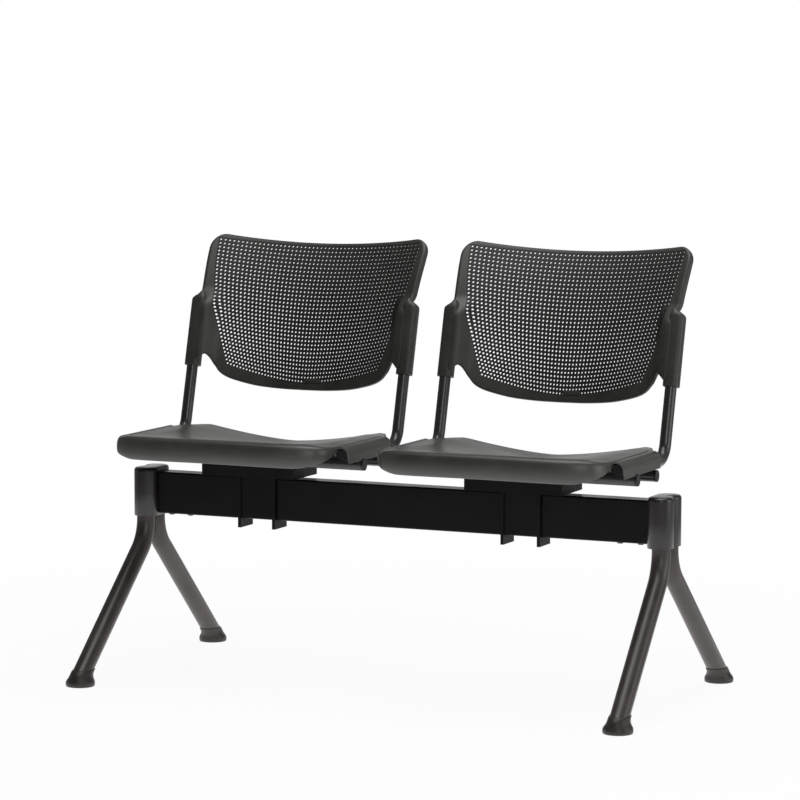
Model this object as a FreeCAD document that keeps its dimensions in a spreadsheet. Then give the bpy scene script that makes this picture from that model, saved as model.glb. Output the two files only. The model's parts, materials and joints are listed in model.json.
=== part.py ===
import FreeCAD, Part
import math
import os
import Sketcher

# Two-seat beam seating: a steel beam on two pairs of splayed legs carries two seats, each an
# L-shaped pair of tubes with a moulded seat pan and a moulded back slid over the uprights.
# X runs along the beam, +Y to the rear, +Z up; the origin is on the floor under the beam's middle.

Vector = FreeCAD.Vector
Placement = FreeCAD.Placement
Rotation = FreeCAD.Rotation
X_AXIS = Vector(1, 0, 0)
Y_AXIS = Vector(0, 1, 0)
Z_AXIS = Vector(0, 0, 1)

os.makedirs("parts", exist_ok=True)
doc = FreeCAD.newDocument("beam_seating")

# Driving dimensions, in millimetres and degrees
DIMENSIONS = {
    # beam and its end joints
    "beam_half_length": 500.0,
    "beam_width": 40.0,
    "beam_height": 80.0,
    "beam_wall": 3.0,
    "beam_corner": 3.0,
    "beam_bottom": 297.0,
    "spigot_length": 70.0,
    "spigot_gap": 0.3,
    "joint_plate_width": 44.0,
    "joint_plate_height": 70.0,
    "joint_plate_thickness": 5.8,
    # legs
    "beam_shift": -3.5,
    "leg_x": 526.5,
    "leg_spacing": 40.0,
    "leg_radius": 17.5,
    "leg_wall": 2.0,
    "leg_top": 376.0,
    "leg_vertex": 251.0,
    "leg_angle": 47.1,
    "leg_bend_radius": 80.0,
    "leg_end_height": 22.0,
    # leg head covers
    "cover_lobe_radius": 24.0,
    "cover_lobe_shift": 2.0,
    "cover_wall": 2.5,
    "cover_bottom": 292.0,
    "cover_top": 386.0,
    "cover_top_round": 5.0,
    # feet
    "foot_x": 536.0,
    "foot_reach": 251.9,
    "foot_radius": 27.5,
    "foot_rim": 3.0,
    "foot_neck_height": 15.0,
    "foot_neck_half_width": 21.0,
    "foot_neck_half_depth": 27.0,
    "foot_height": 46.0,
    "foot_sleeve_radius": 19.0,
    # seats along the beam
    "seat_pitch": 540.0,
    "seat_shift": -20.0,
    # tube frame of one seat
    "frame_half_width": 227.0,
    "frame_tube_radius": 11.0,
    "frame_tube_wall": 1.5,
    "frame_vertex_back": 116.0,
    "frame_vertex_height": 434.3,
    "frame_tilt": 2.0,
    "frame_recline": 14.8,
    "frame_run": 238.0,
    "frame_rise": 262.0,
    "frame_bend_radius": 40.0,
    # cross tubes under the seat
    "cross_half_length": 239.0,
    "cross_front_y": -62.0,
    "cross_front_height": 418.5,
    "cross_rear_y": 38.0,
    "cross_rear_height": 415.0,
    "plug_head": 4.0,
    "plug_stem": 12.0,
    # carrier tray and saddle between the seat and the beam
    "tray_half_width": 96.0,
    "tray_sheet": 4.0,
    "tray_bottom": 382.0,
    "saddle_flange_x": 36.0,
    "saddle_flange": 6.0,
    "saddle_depth": 52.0,
    "saddle_drop": 17.0,
    "saddle_gap": 0.3,
    "saddle_web": 3.0,
    # seat pan
    "seat_half_width": 222.0,
    "seat_rear_half_width": 204.0,
    "seat_lip_half_width": 229.0,
    "seat_rear": 145.0,
    "seat_front": -222.0,
    "seat_side_height": 458.5,
    "seat_rear_height": 431.0,
    "seat_front_height": 460.0,
    "seat_lip_depth": 30.0,
    "seat_lip_drop": 40.0,
    "seat_thickness": 4.0,
    "hood_radius": 14.0,
    "hood_crown": 458.5,
    "hood_bottom": 427.0,
    "hood_front": -130.0,
    "hood_rear": 80.0,
    "hood_gap": 0.3,
    "boss_x": 120.0,
    "boss_radius": 7.0,
    # back shell
    "back_half_width": 227.0,
    "back_spread": 5.0,
    "back_top": 807.0,
    "back_corner_rise": 19.0,
    "back_corner_radius": 30.0,
    "back_arch": 585.0,
    "back_forward": 6.0,
    "back_flare": 38.0,
    "back_hollow": 44.0,
    "back_thickness": 4.0,
    "back_sleeve_radius": 15.0,
    "back_sleeve_bottom": 567.0,
    "back_sleeve_top": 699.0,
    # fasteners
    "beam_screw_radius": 4.0,
    "seat_screw_radius": 2.5,
    "screw_gap": 0.2,
}

sheet = doc.addObject("Spreadsheet::Sheet", "dimensions")
for row, (alias, value) in enumerate(DIMENSIONS.items(), start=1):
    sheet.set(f"A{row}", alias)
    sheet.set(f"B{row}", str(value))
    sheet.setAlias(f"B{row}", alias)
doc.recompute()

nodes = []


def size(alias):
    """One driving dimension as a plain number."""
    return float(sheet.get(alias))


def cell(alias):
    """The same dimension as it is written in an expression."""
    return f"dimensions.{alias}"


def keep(piece, label):
    """Names a finished sub-part, which makes it a node."""
    piece.Label = label
    nodes.append(piece)
    return piece


def bind(thing, **expressions):
    """Ties properties of an object to expressions on the sheet."""
    for name, expression in expressions.items():
        thing.setExpression(name, expression)
    return thing


# Sketch and body helpers


def new_body(name, placement=None):
    body = doc.addObject("PartDesign::Body", name)
    if placement is not None:
        body.Placement = placement
    return body


def new_sketch(body, name, role, lift=0.0):
    """A sketch on one of the body's own origin planes, moved along the plane's normal by lift."""
    sketch = body.newObject("Sketcher::SketchObject", name)
    plane = next(f for f in body.Origin.OriginFeatures if f.Role == role)
    sketch.AttachmentSupport = [(plane, "")]
    sketch.MapMode = "FlatFace"
    sketch.AttachmentOffset = Placement(Vector(0, 0, lift), Rotation())
    return sketch


def dimension(sketch, name, constraint, expression):
    """Adds a named constraint and ties it to an expression."""
    index = sketch.addConstraint(constraint)
    sketch.renameConstraint(index, name)
    sketch.setExpression(f"Constraints.{name}", expression)


def draw_circle(sketch, name, radius):
    """A circle about the sketch's origin whose radius is an expression."""
    start = float(sheet.evalExpression(radius))
    circle = sketch.addGeometry(Part.Circle(Vector(), Z_AXIS, start))
    sketch.addConstraint(Sketcher.Constraint("Coincident", circle, 3, -1, 1))
    dimension(sketch, name, Sketcher.Constraint("Radius", circle, start), radius)


def draw_rectangle(sketch, name, width, height):
    """A rectangle centred on the sketch's origin; width and height are expressions."""
    half_w = float(sheet.evalExpression(width)) / 2
    half_h = float(sheet.evalExpression(height)) / 2
    corners = [
        Vector(-half_w, -half_h),
        Vector(half_w, -half_h),
        Vector(half_w, half_h),
        Vector(-half_w, half_h),
    ]
    lines = [
        sketch.addGeometry(Part.LineSegment(corners[i], corners[(i + 1) % 4]))
        for i in range(4)
    ]
    for i in range(4):
        following = lines[(i + 1) % 4]
        sketch.addConstraint(Sketcher.Constraint("Coincident", lines[i], 2, following, 1))
    for i, direction in enumerate(["Horizontal", "Vertical"] * 2):
        sketch.addConstraint(Sketcher.Constraint(direction, lines[i]))
    sketch.addConstraint(
        Sketcher.Constraint("Symmetric", lines[0], 1, lines[2], 1, -1, 1)
    )
    dimension(
        sketch,
        f"{name}_width",
        Sketcher.Constraint("DistanceX", lines[0], 1, lines[0], 2, 2 * half_w),
        width,
    )
    dimension(
        sketch,
        f"{name}_height",
        Sketcher.Constraint("DistanceY", lines[1], 1, lines[1], 2, 2 * half_h),
        height,
    )


def pad(body, name, sketch, length, midplane=False, reverse=False):
    feature = body.newObject("PartDesign::Pad", name)
    feature.Profile = sketch
    feature.Midplane = midplane
    feature.Reversed = reverse
    feature.setExpression("Length", length)
    doc.recompute()
    return feature


def pocket(body, name, sketch, length, midplane=False, reverse=False):
    """A pocket that must remove material."""
    before = body.Shape.Volume
    feature = body.newObject("PartDesign::Pocket", name)
    feature.Profile = sketch
    feature.Midplane = midplane
    feature.Reversed = reverse
    feature.setExpression("Length", length)
    doc.recompute()
    if body.Shape.Volume >= before:
        raise ValueError(f"pocket {name} cuts nothing")
    return feature


def cylinder(name, radius, height, placement):
    """A primitive cylinder; radius and height are expressions."""
    piece = doc.addObject("Part::Cylinder", name)
    bind(piece, Radius=radius, Height=height)
    piece.Placement = placement
    return piece


def box(name, length, width, height, placement):
    piece = doc.addObject("Part::Box", name)
    bind(piece, Length=length, Width=width, Height=height)
    piece.Placement = placement
    return piece


def fuse(name, pieces):
    joined = doc.addObject("Part::MultiFuse", name)
    joined.Shapes = pieces
    joined.Refine = True
    return joined


def cut(name, base, tool):
    result = doc.addObject("Part::Cut", name)
    result.Base = base
    result.Tool = tool
    return result


def group(name, pieces):
    """Separate solids that share one node."""
    compound = doc.addObject("Part::Compound", name)
    compound.Links = pieces
    return compound


# Beam

BEAM_MIDDLE = size("beam_bottom") + size("beam_height") / 2
BEAM_TOP = size("beam_bottom") + size("beam_height")
BEAM_X = size("beam_shift")
SEATS = {
    "left": size("seat_shift") - size("seat_pitch") / 2,
    "right": size("seat_shift") + size("seat_pitch") / 2,
}
ENDS = {"left": -1, "right": 1}
SADDLE_SCREW_X = 20.0
JOINT_SCREW_X = (440.0, 480.0)
SHANK_HOLE = f"{cell('beam_screw_radius')} + {cell('screw_gap')}"


def make_beam():
    """Rectangular steel tube with screw holes for the saddles above and the joints below."""
    body = new_body("beam_tube", Placement(Vector(BEAM_X, 0, BEAM_MIDDLE), Rotation()))
    section = new_sketch(body, "beam_section", "YZ_Plane")
    draw_rectangle(section, "outer", cell("beam_width"), cell("beam_height"))
    draw_rectangle(
        section,
        "inner",
        f"{cell('beam_width')} - 2 * {cell('beam_wall')}",
        f"{cell('beam_height')} - 2 * {cell('beam_wall')}",
    )
    tube = pad(body, "beam_pad", section, f"2 * {cell('beam_half_length')}", midplane=True)
    half_w = size("beam_width") / 2
    half_h = size("beam_height") / 2
    corners = [
        f"Edge{i + 1}"
        for i, edge in enumerate(tube.Shape.Edges)
        if edge.Length > size("beam_half_length")
        and abs(abs(edge.CenterOfMass.y) - half_w) < 0.1
        and abs(abs(edge.CenterOfMass.z) - half_h) < 0.1
    ]
    rounding = body.newObject("PartDesign::Fillet", "beam_corners")
    rounding.Base = (tube, corners)
    rounding.setExpression("Radius", cell("beam_corner"))
    doc.recompute()
    top_holes = [
        x - BEAM_X + side * SADDLE_SCREW_X for x in SEATS.values() for side in (-1, 1)
    ]
    bottom_holes = [side * x for x in JOINT_SCREW_X for side in (-1, 1)]
    for i, (x, height) in enumerate(
        [(x, half_h) for x in top_holes] + [(x, -half_h) for x in bottom_holes]
    ):
        sketch = new_sketch(body, f"beam_hole_{i}", "XY_Plane", lift=height)
        sketch.AttachmentOffset = Placement(Vector(x, 0, height), Rotation())
        draw_circle(sketch, "hole", SHANK_HOLE)
        pocket(
            body, f"beam_bore_{i}", sketch, f"2.4 * {cell('beam_wall')}", midplane=True
        )
    return keep(body, "beam")


# Legs, feet, covers and the joints in the beam's ends


def bent_tube(name, radius, wall, first, turn, bend, second, placement):
    """Round tube with one bend.

    It starts at the body's origin, runs down -Z to the bend's vertex, turns by an angle
    towards +Y and runs on. first and second are measured to the vertex; all are expressions.
    """
    body = new_body(name, placement)
    path = new_sketch(body, f"{name}_path", "YZ_Plane")
    angle = math.radians(float(sheet.evalExpression(turn)))
    bend_radius = float(sheet.evalExpression(bend))
    tangent = bend_radius * math.tan(angle / 2)
    first_length = float(sheet.evalExpression(first)) - tangent
    second_length = float(sheet.evalExpression(second)) - tangent
    away = Vector(math.sin(angle), -math.cos(angle), 0)
    vertex = Vector(0, -first_length - tangent, 0)
    start_of_bend = Vector(0, -first_length, 0)
    end_of_bend = vertex + away * tangent
    centre = Vector(bend_radius, -first_length, 0)
    middle = centre + Vector(-math.cos(angle / 2), -math.sin(angle / 2), 0) * bend_radius
    down = sketch_line(path, Vector(), start_of_bend)
    arc = path.addGeometry(Part.Arc(start_of_bend, middle, end_of_bend))
    out = sketch_line(path, end_of_bend, end_of_bend + away * second_length)
    path.addConstraint(Sketcher.Constraint("Coincident", down, 1, -1, 1))
    path.addConstraint(Sketcher.Constraint("Vertical", down))
    path.addConstraint(Sketcher.Constraint("Tangent", down, 2, arc, 1))
    path.addConstraint(Sketcher.Constraint("Tangent", arc, 2, out, 1))
    half_turn = f"tan(({turn}) / 2 * 1 deg)"
    dimension(path, "bend", Sketcher.Constraint("Radius", arc, bend_radius), bend)
    dimension(
        path,
        "first_run",
        Sketcher.Constraint("Distance", down, first_length),
        f"{first} - ({bend}) * {half_turn}",
    )
    dimension(
        path,
        "second_run",
        Sketcher.Constraint("Distance", out, second_length),
        f"{second} - ({bend}) * {half_turn}",
    )
    dimension(
        path,
        "turn",
        Sketcher.Constraint("Angle", out, math.radians(270) + angle),
        f"(270 + {turn}) * 1 deg",
    )
    ring = new_sketch(body, f"{name}_ring", "XY_Plane")
    draw_circle(ring, "outside", radius)
    draw_circle(ring, "bore", f"{radius} - {wall}")
    doc.recompute()
    tube = body.newObject("PartDesign::AdditivePipe", f"{name}_pipe")
    tube.Profile = ring
    tube.Spine = (path, ["Edge1", "Edge2", "Edge3"])
    doc.recompute()
    return body


def sketch_line(sketch, start, end):
    return sketch.addGeometry(Part.LineSegment(start, end))


LEG_TURN = cell("leg_angle")
LEG_FIRST = f"{cell('leg_top')} - {cell('leg_vertex')}"
LEG_SECOND = (
    f"({cell('leg_vertex')} - {cell('leg_end_height')}) / cos({cell('leg_angle')} * 1 deg)"
)


def leg_head(end, row, height=0.0):
    """Point on a leg's upright axis: row is -1 at the front and 1 at the rear."""
    across = BEAM_X + ENDS[end] * size("leg_x")
    return Vector(across, row * size("leg_spacing") / 2, height)


def leg_heading(end, row):
    """Turn about Z that points a leg's +Y at its foot."""
    across = ENDS[end] * size("foot_x") - leg_head(end, row).x
    toe_out = math.degrees(math.asin(across / size("foot_reach")))
    return 180 + toe_out if row < 0 else -toe_out


def make_leg(end, row_name, row):
    heading = Rotation(Z_AXIS, leg_heading(end, row))
    top = leg_head(end, row, size("leg_top"))
    leg = bent_tube(
        f"leg_tube_{row_name}_{end}",
        cell("leg_radius"),
        cell("leg_wall"),
        LEG_FIRST,
        LEG_TURN,
        cell("leg_bend_radius"),
        LEG_SECOND,
        Placement(top, heading),
    )
    return keep(leg, f"leg_{row_name}_{end}")


def ellipse(name, along, across, placement):
    """A level ellipse; along is its half length on the leg's own +Y, both are expressions."""
    ring = doc.addObject("Part::Ellipse", name)
    bind(ring, MajorRadius=along, MinorRadius=across)
    ring.Placement = placement
    return ring


def make_foot(end, row_name, row):
    """Moulded boot: a round rim on the floor, a flare and a sleeve with a level top round the leg."""
    name = f"foot_{row_name}_{end}"
    heading = Rotation(Z_AXIS, leg_heading(end, row))
    top = leg_head(end, row)
    slope = math.tan(math.radians(size("leg_angle")))
    crossing = size("leg_vertex") * slope
    turned = heading.multiply(Rotation(Z_AXIS, 90))
    radius = cell("foot_radius")
    sleeve = cell("foot_sleeve_radius")
    level_sleeve = f"{sleeve} / cos({cell('leg_angle')} * 1 deg)"
    levels = [
        (0.0, size("foot_reach"), f"1.0001 * {radius}", radius),
        (size("foot_rim"), size("foot_reach"), f"1.0001 * {radius}", radius),
        (
            size("foot_neck_height"),
            size("foot_reach"),
            cell("foot_neck_half_depth"),
            cell("foot_neck_half_width"),
        ),
        (size("foot_height"), crossing - size("foot_height") * slope, level_sleeve, sleeve),
    ]
    rings = []
    for i, (height, reach, along, across) in enumerate(levels):
        place = top + heading.multVec(Vector(0, reach, height))
        rings.append(ellipse(f"{name}_ring_{i}", along, across, Placement(place, turned)))
    boot = doc.addObject("Part::Loft", f"{name}_boot")
    boot.Sections = rings
    boot.Solid = True
    boot.Ruled = True
    lean = heading.multiply(Rotation(X_AXIS, size("leg_angle")))
    end_reach = crossing - size("leg_end_height") * slope
    tube_end = top + heading.multVec(Vector(0, end_reach, size("leg_end_height")))
    bore = cylinder(
        f"{name}_bore", cell("leg_radius"), f"2 * {cell('foot_height')}", Placement(tube_end, lean)
    )
    return keep(cut(name, boot, bore), name)


def cover_outline(sketch, inset):
    """Two round lobes about the leg tubes and a flat side towards the beam, drawn at +X outwards."""
    radius = size("cover_lobe_radius") - inset
    lobe = size("leg_spacing") / 2
    middle_x = -size("cover_lobe_shift")
    crease_x = middle_x + math.sqrt(radius**2 - lobe**2)
    wall_x = middle_x - radius
    for side in (-1, 1):
        centre = Vector(middle_x, side * lobe)
        start = Vector(wall_x, side * lobe)
        over = centre + Vector(0, side * radius)
        crease = Vector(crease_x, 0)
        sketch.addGeometry(Part.Arc(start, over, crease))
    sketch_line(sketch, Vector(wall_x, -lobe), Vector(wall_x, lobe))
    sketch.addConstraint([Sketcher.Constraint("Block", i) for i in range(3)])


def make_cover(end):
    """Hollow cap over the tops of both leg tubes, open below and towards the beam."""
    name = f"leg_cover_{end}"
    turn = Rotation(Z_AXIS, 0 if end == "right" else 180)
    place = Vector(BEAM_X + ENDS[end] * size("leg_x"), 0, size("cover_bottom"))
    body = new_body(f"{name}_body", Placement(place, turn))
    outline = new_sketch(body, f"{name}_outline", "XY_Plane")
    cover_outline(outline, 0.0)
    height = f"{cell('cover_top')} - {cell('cover_bottom')}"
    block = pad(body, f"{name}_block", outline, height)
    top = size("cover_top") - size("cover_bottom")
    rim = [
        f"Edge{i + 1}"
        for i, edge in enumerate(block.Shape.Edges)
        if abs(edge.BoundBox.ZMin - top) < 0.01
    ]
    dome = body.newObject("PartDesign::Fillet", f"{name}_dome")
    dome.Base = (block, rim)
    dome.setExpression("Radius", cell("cover_top_round"))
    doc.recompute()
    hollow = new_sketch(body, f"{name}_hollow", "XY_Plane")
    cover_outline(hollow, size("cover_wall"))
    inside = f"{height} - {cell('cover_wall')} - {cell('cover_top_round')} / 2"
    pocket(body, f"{name}_inside", hollow, inside, reverse=True)
    window = new_sketch(body, f"{name}_window", "YZ_Plane")
    middle = BEAM_MIDDLE - size("cover_bottom")
    window.AttachmentOffset = Placement(
        Vector(0, middle, -size("cover_lobe_radius")), Rotation()
    )
    draw_rectangle(
        window, "window", f"{cell('beam_width')} - 5", f"{cell('beam_height')} - 5"
    )
    pocket(
        body, f"{name}_opening", window, f"2 * ({cell('cover_wall')} + 2)", midplane=True
    )
    return keep(body, name)


def make_joint(end):
    """Plate welded to both leg tubes with a box spigot that slides into the beam."""
    name = f"beam_joint_{end}"
    turn = Rotation(Z_AXIS, 0 if end == "right" else 180)
    face = size("leg_x") - size("leg_radius")
    place = Vector(BEAM_X + ENDS[end] * face, 0, BEAM_MIDDLE)
    body = new_body(f"{name}_body", Placement(place, turn))
    plate_outline = new_sketch(body, f"{name}_plate_outline", "YZ_Plane")
    draw_rectangle(
        plate_outline, "plate", cell("joint_plate_width"), cell("joint_plate_height")
    )
    pad(
        body,
        f"{name}_plate",
        plate_outline,
        cell("joint_plate_thickness"),
        reverse=True,
    )
    section = new_sketch(
        body, f"{name}_section", "YZ_Plane", lift=-size("joint_plate_thickness")
    )
    clear = f"2 * ({cell('beam_wall')} + {cell('spigot_gap')})"
    outer_w = f"{cell('beam_width')} - {clear}"
    outer_h = f"{cell('beam_height')} - {clear}"
    draw_rectangle(section, "outer", outer_w, outer_h)
    draw_rectangle(
        section,
        "inner",
        f"{outer_w} - 2 * {cell('beam_wall')}",
        f"{outer_h} - 2 * {cell('beam_wall')}",
    )
    pad(body, f"{name}_spigot", section, cell("spigot_length"), reverse=True)
    half_h = size("beam_height") / 2 - size("beam_wall") - size("spigot_gap")
    for i, x in enumerate(JOINT_SCREW_X):
        sketch = new_sketch(body, f"{name}_hole_{i}", "XY_Plane")
        sketch.AttachmentOffset = Placement(Vector(x - face, 0, -half_h), Rotation())
        draw_circle(sketch, "hole", SHANK_HOLE)
        pocket(
            body, f"{name}_bore_{i}", sketch, f"3 * {cell('beam_wall')}", midplane=True
        )
    return keep(body, name)


def screw(name, radius, head_radius, head_height, length, placement):
    """Revolved screw with a low domed head; the head's underside is at the origin, shank along -Z."""
    body = new_body(name, placement)
    profile = new_sketch(body, f"{name}_profile", "XZ_Plane")
    dome = head_height * 0.6
    points = [
        Vector(0, -length),
        Vector(radius, -length),
        Vector(radius, 0),
        Vector(head_radius, 0),
        Vector(head_radius, head_height - dome),
        Vector(head_radius * 0.7, head_height),
        Vector(0, head_height),
    ]
    for i, point in enumerate(points):
        sketch_line(profile, point, points[(i + 1) % len(points)])
    profile.addConstraint([Sketcher.Constraint("Block", i) for i in range(len(points))])
    turned = body.newObject("PartDesign::Revolution", f"{name}_turned")
    turned.Profile = profile
    turned.ReferenceAxis = (profile, ["V_Axis"])
    turned.Angle = 360
    doc.recompute()
    return body


HEAD_HEIGHT = 4.0
UPSIDE_DOWN = Rotation(X_AXIS, 180)


def make_joint_screws(end):
    name = f"joint_screws_{end}"
    screws = [
        screw(
            f"{name}_{i}",
            size("beam_screw_radius"),
            7.0,
            HEAD_HEIGHT,
            9.0,
            Placement(Vector(BEAM_X + ENDS[end] * x, 0, size("beam_bottom")), UPSIDE_DOWN),
        )
        for i, x in enumerate(JOINT_SCREW_X)
    ]
    return keep(group(name, screws), name)


# Seat frame: two bent side tubes, two cross tubes, plugs, tray and saddle


def run_height(back):
    """Height of a side tube's axis at a distance back along Y."""
    drop = (back - size("frame_vertex_back")) * math.tan(math.radians(size("frame_tilt")))
    return size("frame_vertex_height") - drop


def upright_back(height):
    """Place along Y of an upright's axis at a height."""
    rise = height - size("frame_vertex_height")
    return size("frame_vertex_back") + rise * math.tan(math.radians(size("frame_recline")))


RECLINE = Rotation(X_AXIS, -size("frame_recline"))
TILT = Rotation(X_AXIS, -size("frame_tilt"))


def make_side_tube(seat, side_name, side):
    """L-shaped tube: upright for the back, bend, and the run that carries the seat."""
    vertex = Vector(
        SEATS[seat] + side * size("frame_half_width"),
        size("frame_vertex_back"),
        size("frame_vertex_height"),
    )
    top = vertex + RECLINE.multVec(Z_AXIS) * size("frame_rise")
    name = f"side_tube_{side_name}_of_{seat}_seat"
    tube = bent_tube(
        f"{name}_body",
        cell("frame_tube_radius"),
        cell("frame_tube_wall"),
        cell("frame_rise"),
        f"90 - {cell('frame_recline')} + {cell('frame_tilt')}",
        cell("frame_bend_radius"),
        cell("frame_run"),
        Placement(top, RECLINE.multiply(Rotation(Z_AXIS, 180))),
    )
    return keep(tube, name)


def plug(name, place, turn):
    """Push-in tube plug: a low head and a stem inside the bore; its head points along +Z."""
    head = cylinder(
        f"{name}_head", cell("frame_tube_radius"), cell("plug_head"), Placement(place, turn)
    )
    stem_start = place - turn.multVec(Z_AXIS) * size("plug_stem")
    bore = f"{cell('frame_tube_radius')} - {cell('frame_tube_wall')}"
    stem = cylinder(
        f"{name}_stem", bore, cell("plug_stem"), Placement(stem_start, turn)
    )
    return fuse(name, [head, stem])


def make_side_plugs(seat):
    name = f"side_tube_plugs_{seat}"
    forward = TILT.multiply(Rotation(X_AXIS, 90))
    plugs = []
    for side in (-1, 1):
        vertex = Vector(
            SEATS[seat] + side * size("frame_half_width"),
            size("frame_vertex_back"),
            size("frame_vertex_height"),
        )
        end = vertex + forward.multVec(Z_AXIS) * size("frame_run")
        plugs.append(plug(f"{name}_{'left' if side < 0 else 'right'}", end, forward))
    return keep(group(name, plugs), name)


CROSS_TUBES = {
    "front": ("cross_front_y", "cross_front_height"),
    "rear": ("cross_rear_y", "cross_rear_height"),
}
ALONG_X = Rotation(Y_AXIS, 90)
SEAT_SCREW_HOLE = f"{cell('seat_screw_radius')} + {cell('screw_gap')}"


def make_cross_tube(seat, row_name):
    """Round tube along the beam with two vertical bores for the seat's screws."""
    name = f"cross_tube_{row_name}_{seat}"
    y, z = (size(alias) for alias in CROSS_TUBES[row_name])
    start = Vector(SEATS[seat] - size("cross_half_length"), y, z)
    length = f"2 * {cell('cross_half_length')}"
    outside = cylinder(
        f"{name}_outside", cell("frame_tube_radius"), length, Placement(start, ALONG_X)
    )
    bore = cylinder(
        f"{name}_bore",
        f"{cell('frame_tube_radius')} - {cell('frame_tube_wall')}",
        length,
        Placement(start, ALONG_X),
    )
    holes = [
        cylinder(
            f"{name}_hole_{i}",
            SEAT_SCREW_HOLE,
            f"4 * {cell('frame_tube_radius')}",
            Placement(
                Vector(
                    SEATS[seat] + side * size("boss_x"),
                    y,
                    z - 2 * size("frame_tube_radius"),
                ),
                Rotation(),
            ),
        )
        for i, side in enumerate((-1, 1))
    ]
    return keep(cut(name, outside, fuse(f"{name}_inside", [bore] + holes)), name)


def make_cross_plugs(seat):
    name = f"cross_tube_plugs_{seat}"
    plugs = []
    for row_name, (y_alias, z_alias) in CROSS_TUBES.items():
        for side in (-1, 1):
            end = Vector(
                SEATS[seat] + side * size("cross_half_length"), size(y_alias), size(z_alias)
            )
            outward = Rotation(Y_AXIS, side * 90)
            plugs.append(plug(f"{name}_{row_name}_{side + 1}", end, outward))
    return keep(group(name, plugs), name)


def make_tray(seat):
    """Folded sheet carrier: its front and rear walls hold the cross tubes, its floor is screwed down."""
    name = f"seat_carrier_{seat}"
    thick = cell("tray_sheet")
    width = f"2 * {cell('tray_half_width')}"
    left = SEATS[seat] - size("tray_half_width")
    front_y = size("cross_front_y") - size("tray_sheet") / 2
    rear_y = size("cross_rear_y") - size("tray_sheet") / 2
    bottom = size("tray_bottom")
    radius = cell("frame_tube_radius")
    depth = f"{cell('cross_rear_y')} - {cell('cross_front_y')} + {thick}"
    floor = box(
        f"{name}_floor", width, depth, thick, Placement(Vector(left, front_y, bottom), Rotation())
    )
    front = box(
        f"{name}_front",
        width,
        thick,
        f"{cell('cross_front_height')} - {radius} - {cell('tray_bottom')}",
        Placement(Vector(left, front_y, bottom), Rotation()),
    )
    rear = box(
        f"{name}_rear",
        width,
        thick,
        f"{cell('cross_rear_height')} - {radius} - {cell('tray_bottom')}",
        Placement(Vector(left, rear_y, bottom), Rotation()),
    )
    walls = [
        box(
            f"{name}_side_{i}",
            thick,
            depth,
            f"{cell('cross_rear_height')} - {radius} - {cell('tray_bottom')} - 4",
            Placement(Vector(x, front_y, bottom), Rotation()),
        )
        for i, x in enumerate(
            (left, SEATS[seat] + size("tray_half_width") - size("tray_sheet"))
        )
    ]
    pan = fuse(f"{name}_pan", [floor, front, rear] + walls)
    holes = [
        cylinder(
            f"{name}_hole_{i}",
            SHANK_HOLE,
            f"3 * {thick}",
            Placement(
                Vector(
                    SEATS[seat] + side * SADDLE_SCREW_X, 0, bottom - size("tray_sheet")
                ),
                Rotation(),
            ),
        )
        for i, side in enumerate((-1, 1))
    ]
    return keep(cut(name, pan, fuse(f"{name}_holes", holes)), name)


def make_saddle(seat):
    """Two ring plates round the beam, joined by a top plate and thin cheeks on its two faces."""
    name = f"beam_saddle_{seat}"
    middle = SEATS[seat]
    gap = size("saddle_gap")
    depth = size("saddle_depth")
    bottom = size("beam_bottom") - size("saddle_drop")
    height = size("tray_bottom") - bottom
    flange = size("saddle_flange")
    reach = size("saddle_flange_x") + flange / 2
    rings = [
        box(
            f"{name}_ring_{i}",
            cell("saddle_flange"),
            cell("saddle_depth"),
            f"{cell('tray_bottom')} - {cell('beam_bottom')} + {cell('saddle_drop')}",
            Placement(
                Vector(middle + side * size("saddle_flange_x") - flange / 2, -depth / 2, bottom),
                Rotation(),
            ),
        )
        for i, side in enumerate((-1, 1))
    ]
    cheek_width = size("beam_width") / 2 + gap + size("saddle_web")
    sleeve_bottom = size("beam_bottom") + 3
    sleeve = box(
        f"{name}_sleeve",
        f"2 * {cell('saddle_flange_x')}",
        f"{cell('beam_width')} + 2 * ({cell('saddle_gap')} + {cell('saddle_web')})",
        f"{cell('tray_bottom')} - {cell('beam_bottom')} - 3",
        Placement(
            Vector(middle - size("saddle_flange_x"), -cheek_width, sleeve_bottom),
            Rotation(),
        ),
    )
    window = box(
        f"{name}_window",
        str(2 * reach + 2),
        f"{cell('beam_width')} + 2 * {cell('saddle_gap')}",
        f"{cell('beam_height')} + 2 * {cell('saddle_gap')}",
        Placement(
            Vector(
                middle - reach - 1,
                -size("beam_width") / 2 - gap,
                size("beam_bottom") - gap,
            ),
            Rotation(),
        ),
    )
    holes = [
        cylinder(
            f"{name}_hole_{i}",
            SHANK_HOLE,
            str(height),
            Placement(
                Vector(middle + side * SADDLE_SCREW_X, 0, BEAM_MIDDLE), Rotation()
            ),
        )
        for i, side in enumerate((-1, 1))
    ]
    solid = fuse(f"{name}_solid", rings + [sleeve])
    return keep(cut(name, solid, fuse(f"{name}_cuts", [window] + holes)), name)


def make_saddle_screws(seat):
    name = f"saddle_screws_{seat}"
    under_head = size("tray_bottom") + size("tray_sheet")
    screws = [
        screw(
            f"{name}_{i}",
            size("beam_screw_radius"),
            7.0,
            HEAD_HEIGHT,
            under_head - BEAM_TOP + 8.0,
            Placement(
                Vector(SEATS[seat] + side * SADDLE_SCREW_X, 0, under_head), Rotation()
            ),
        )
        for i, side in enumerate((-1, 1))
    ]
    return keep(group(name, screws), name)


# Moulded seat and back: grids of points on a formula, interpolated above and below


def smooth(value):
    """Smooth step from 0 to 1."""
    value = min(1.0, max(0.0, value))
    return value * value * (3 - 2 * value)


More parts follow.
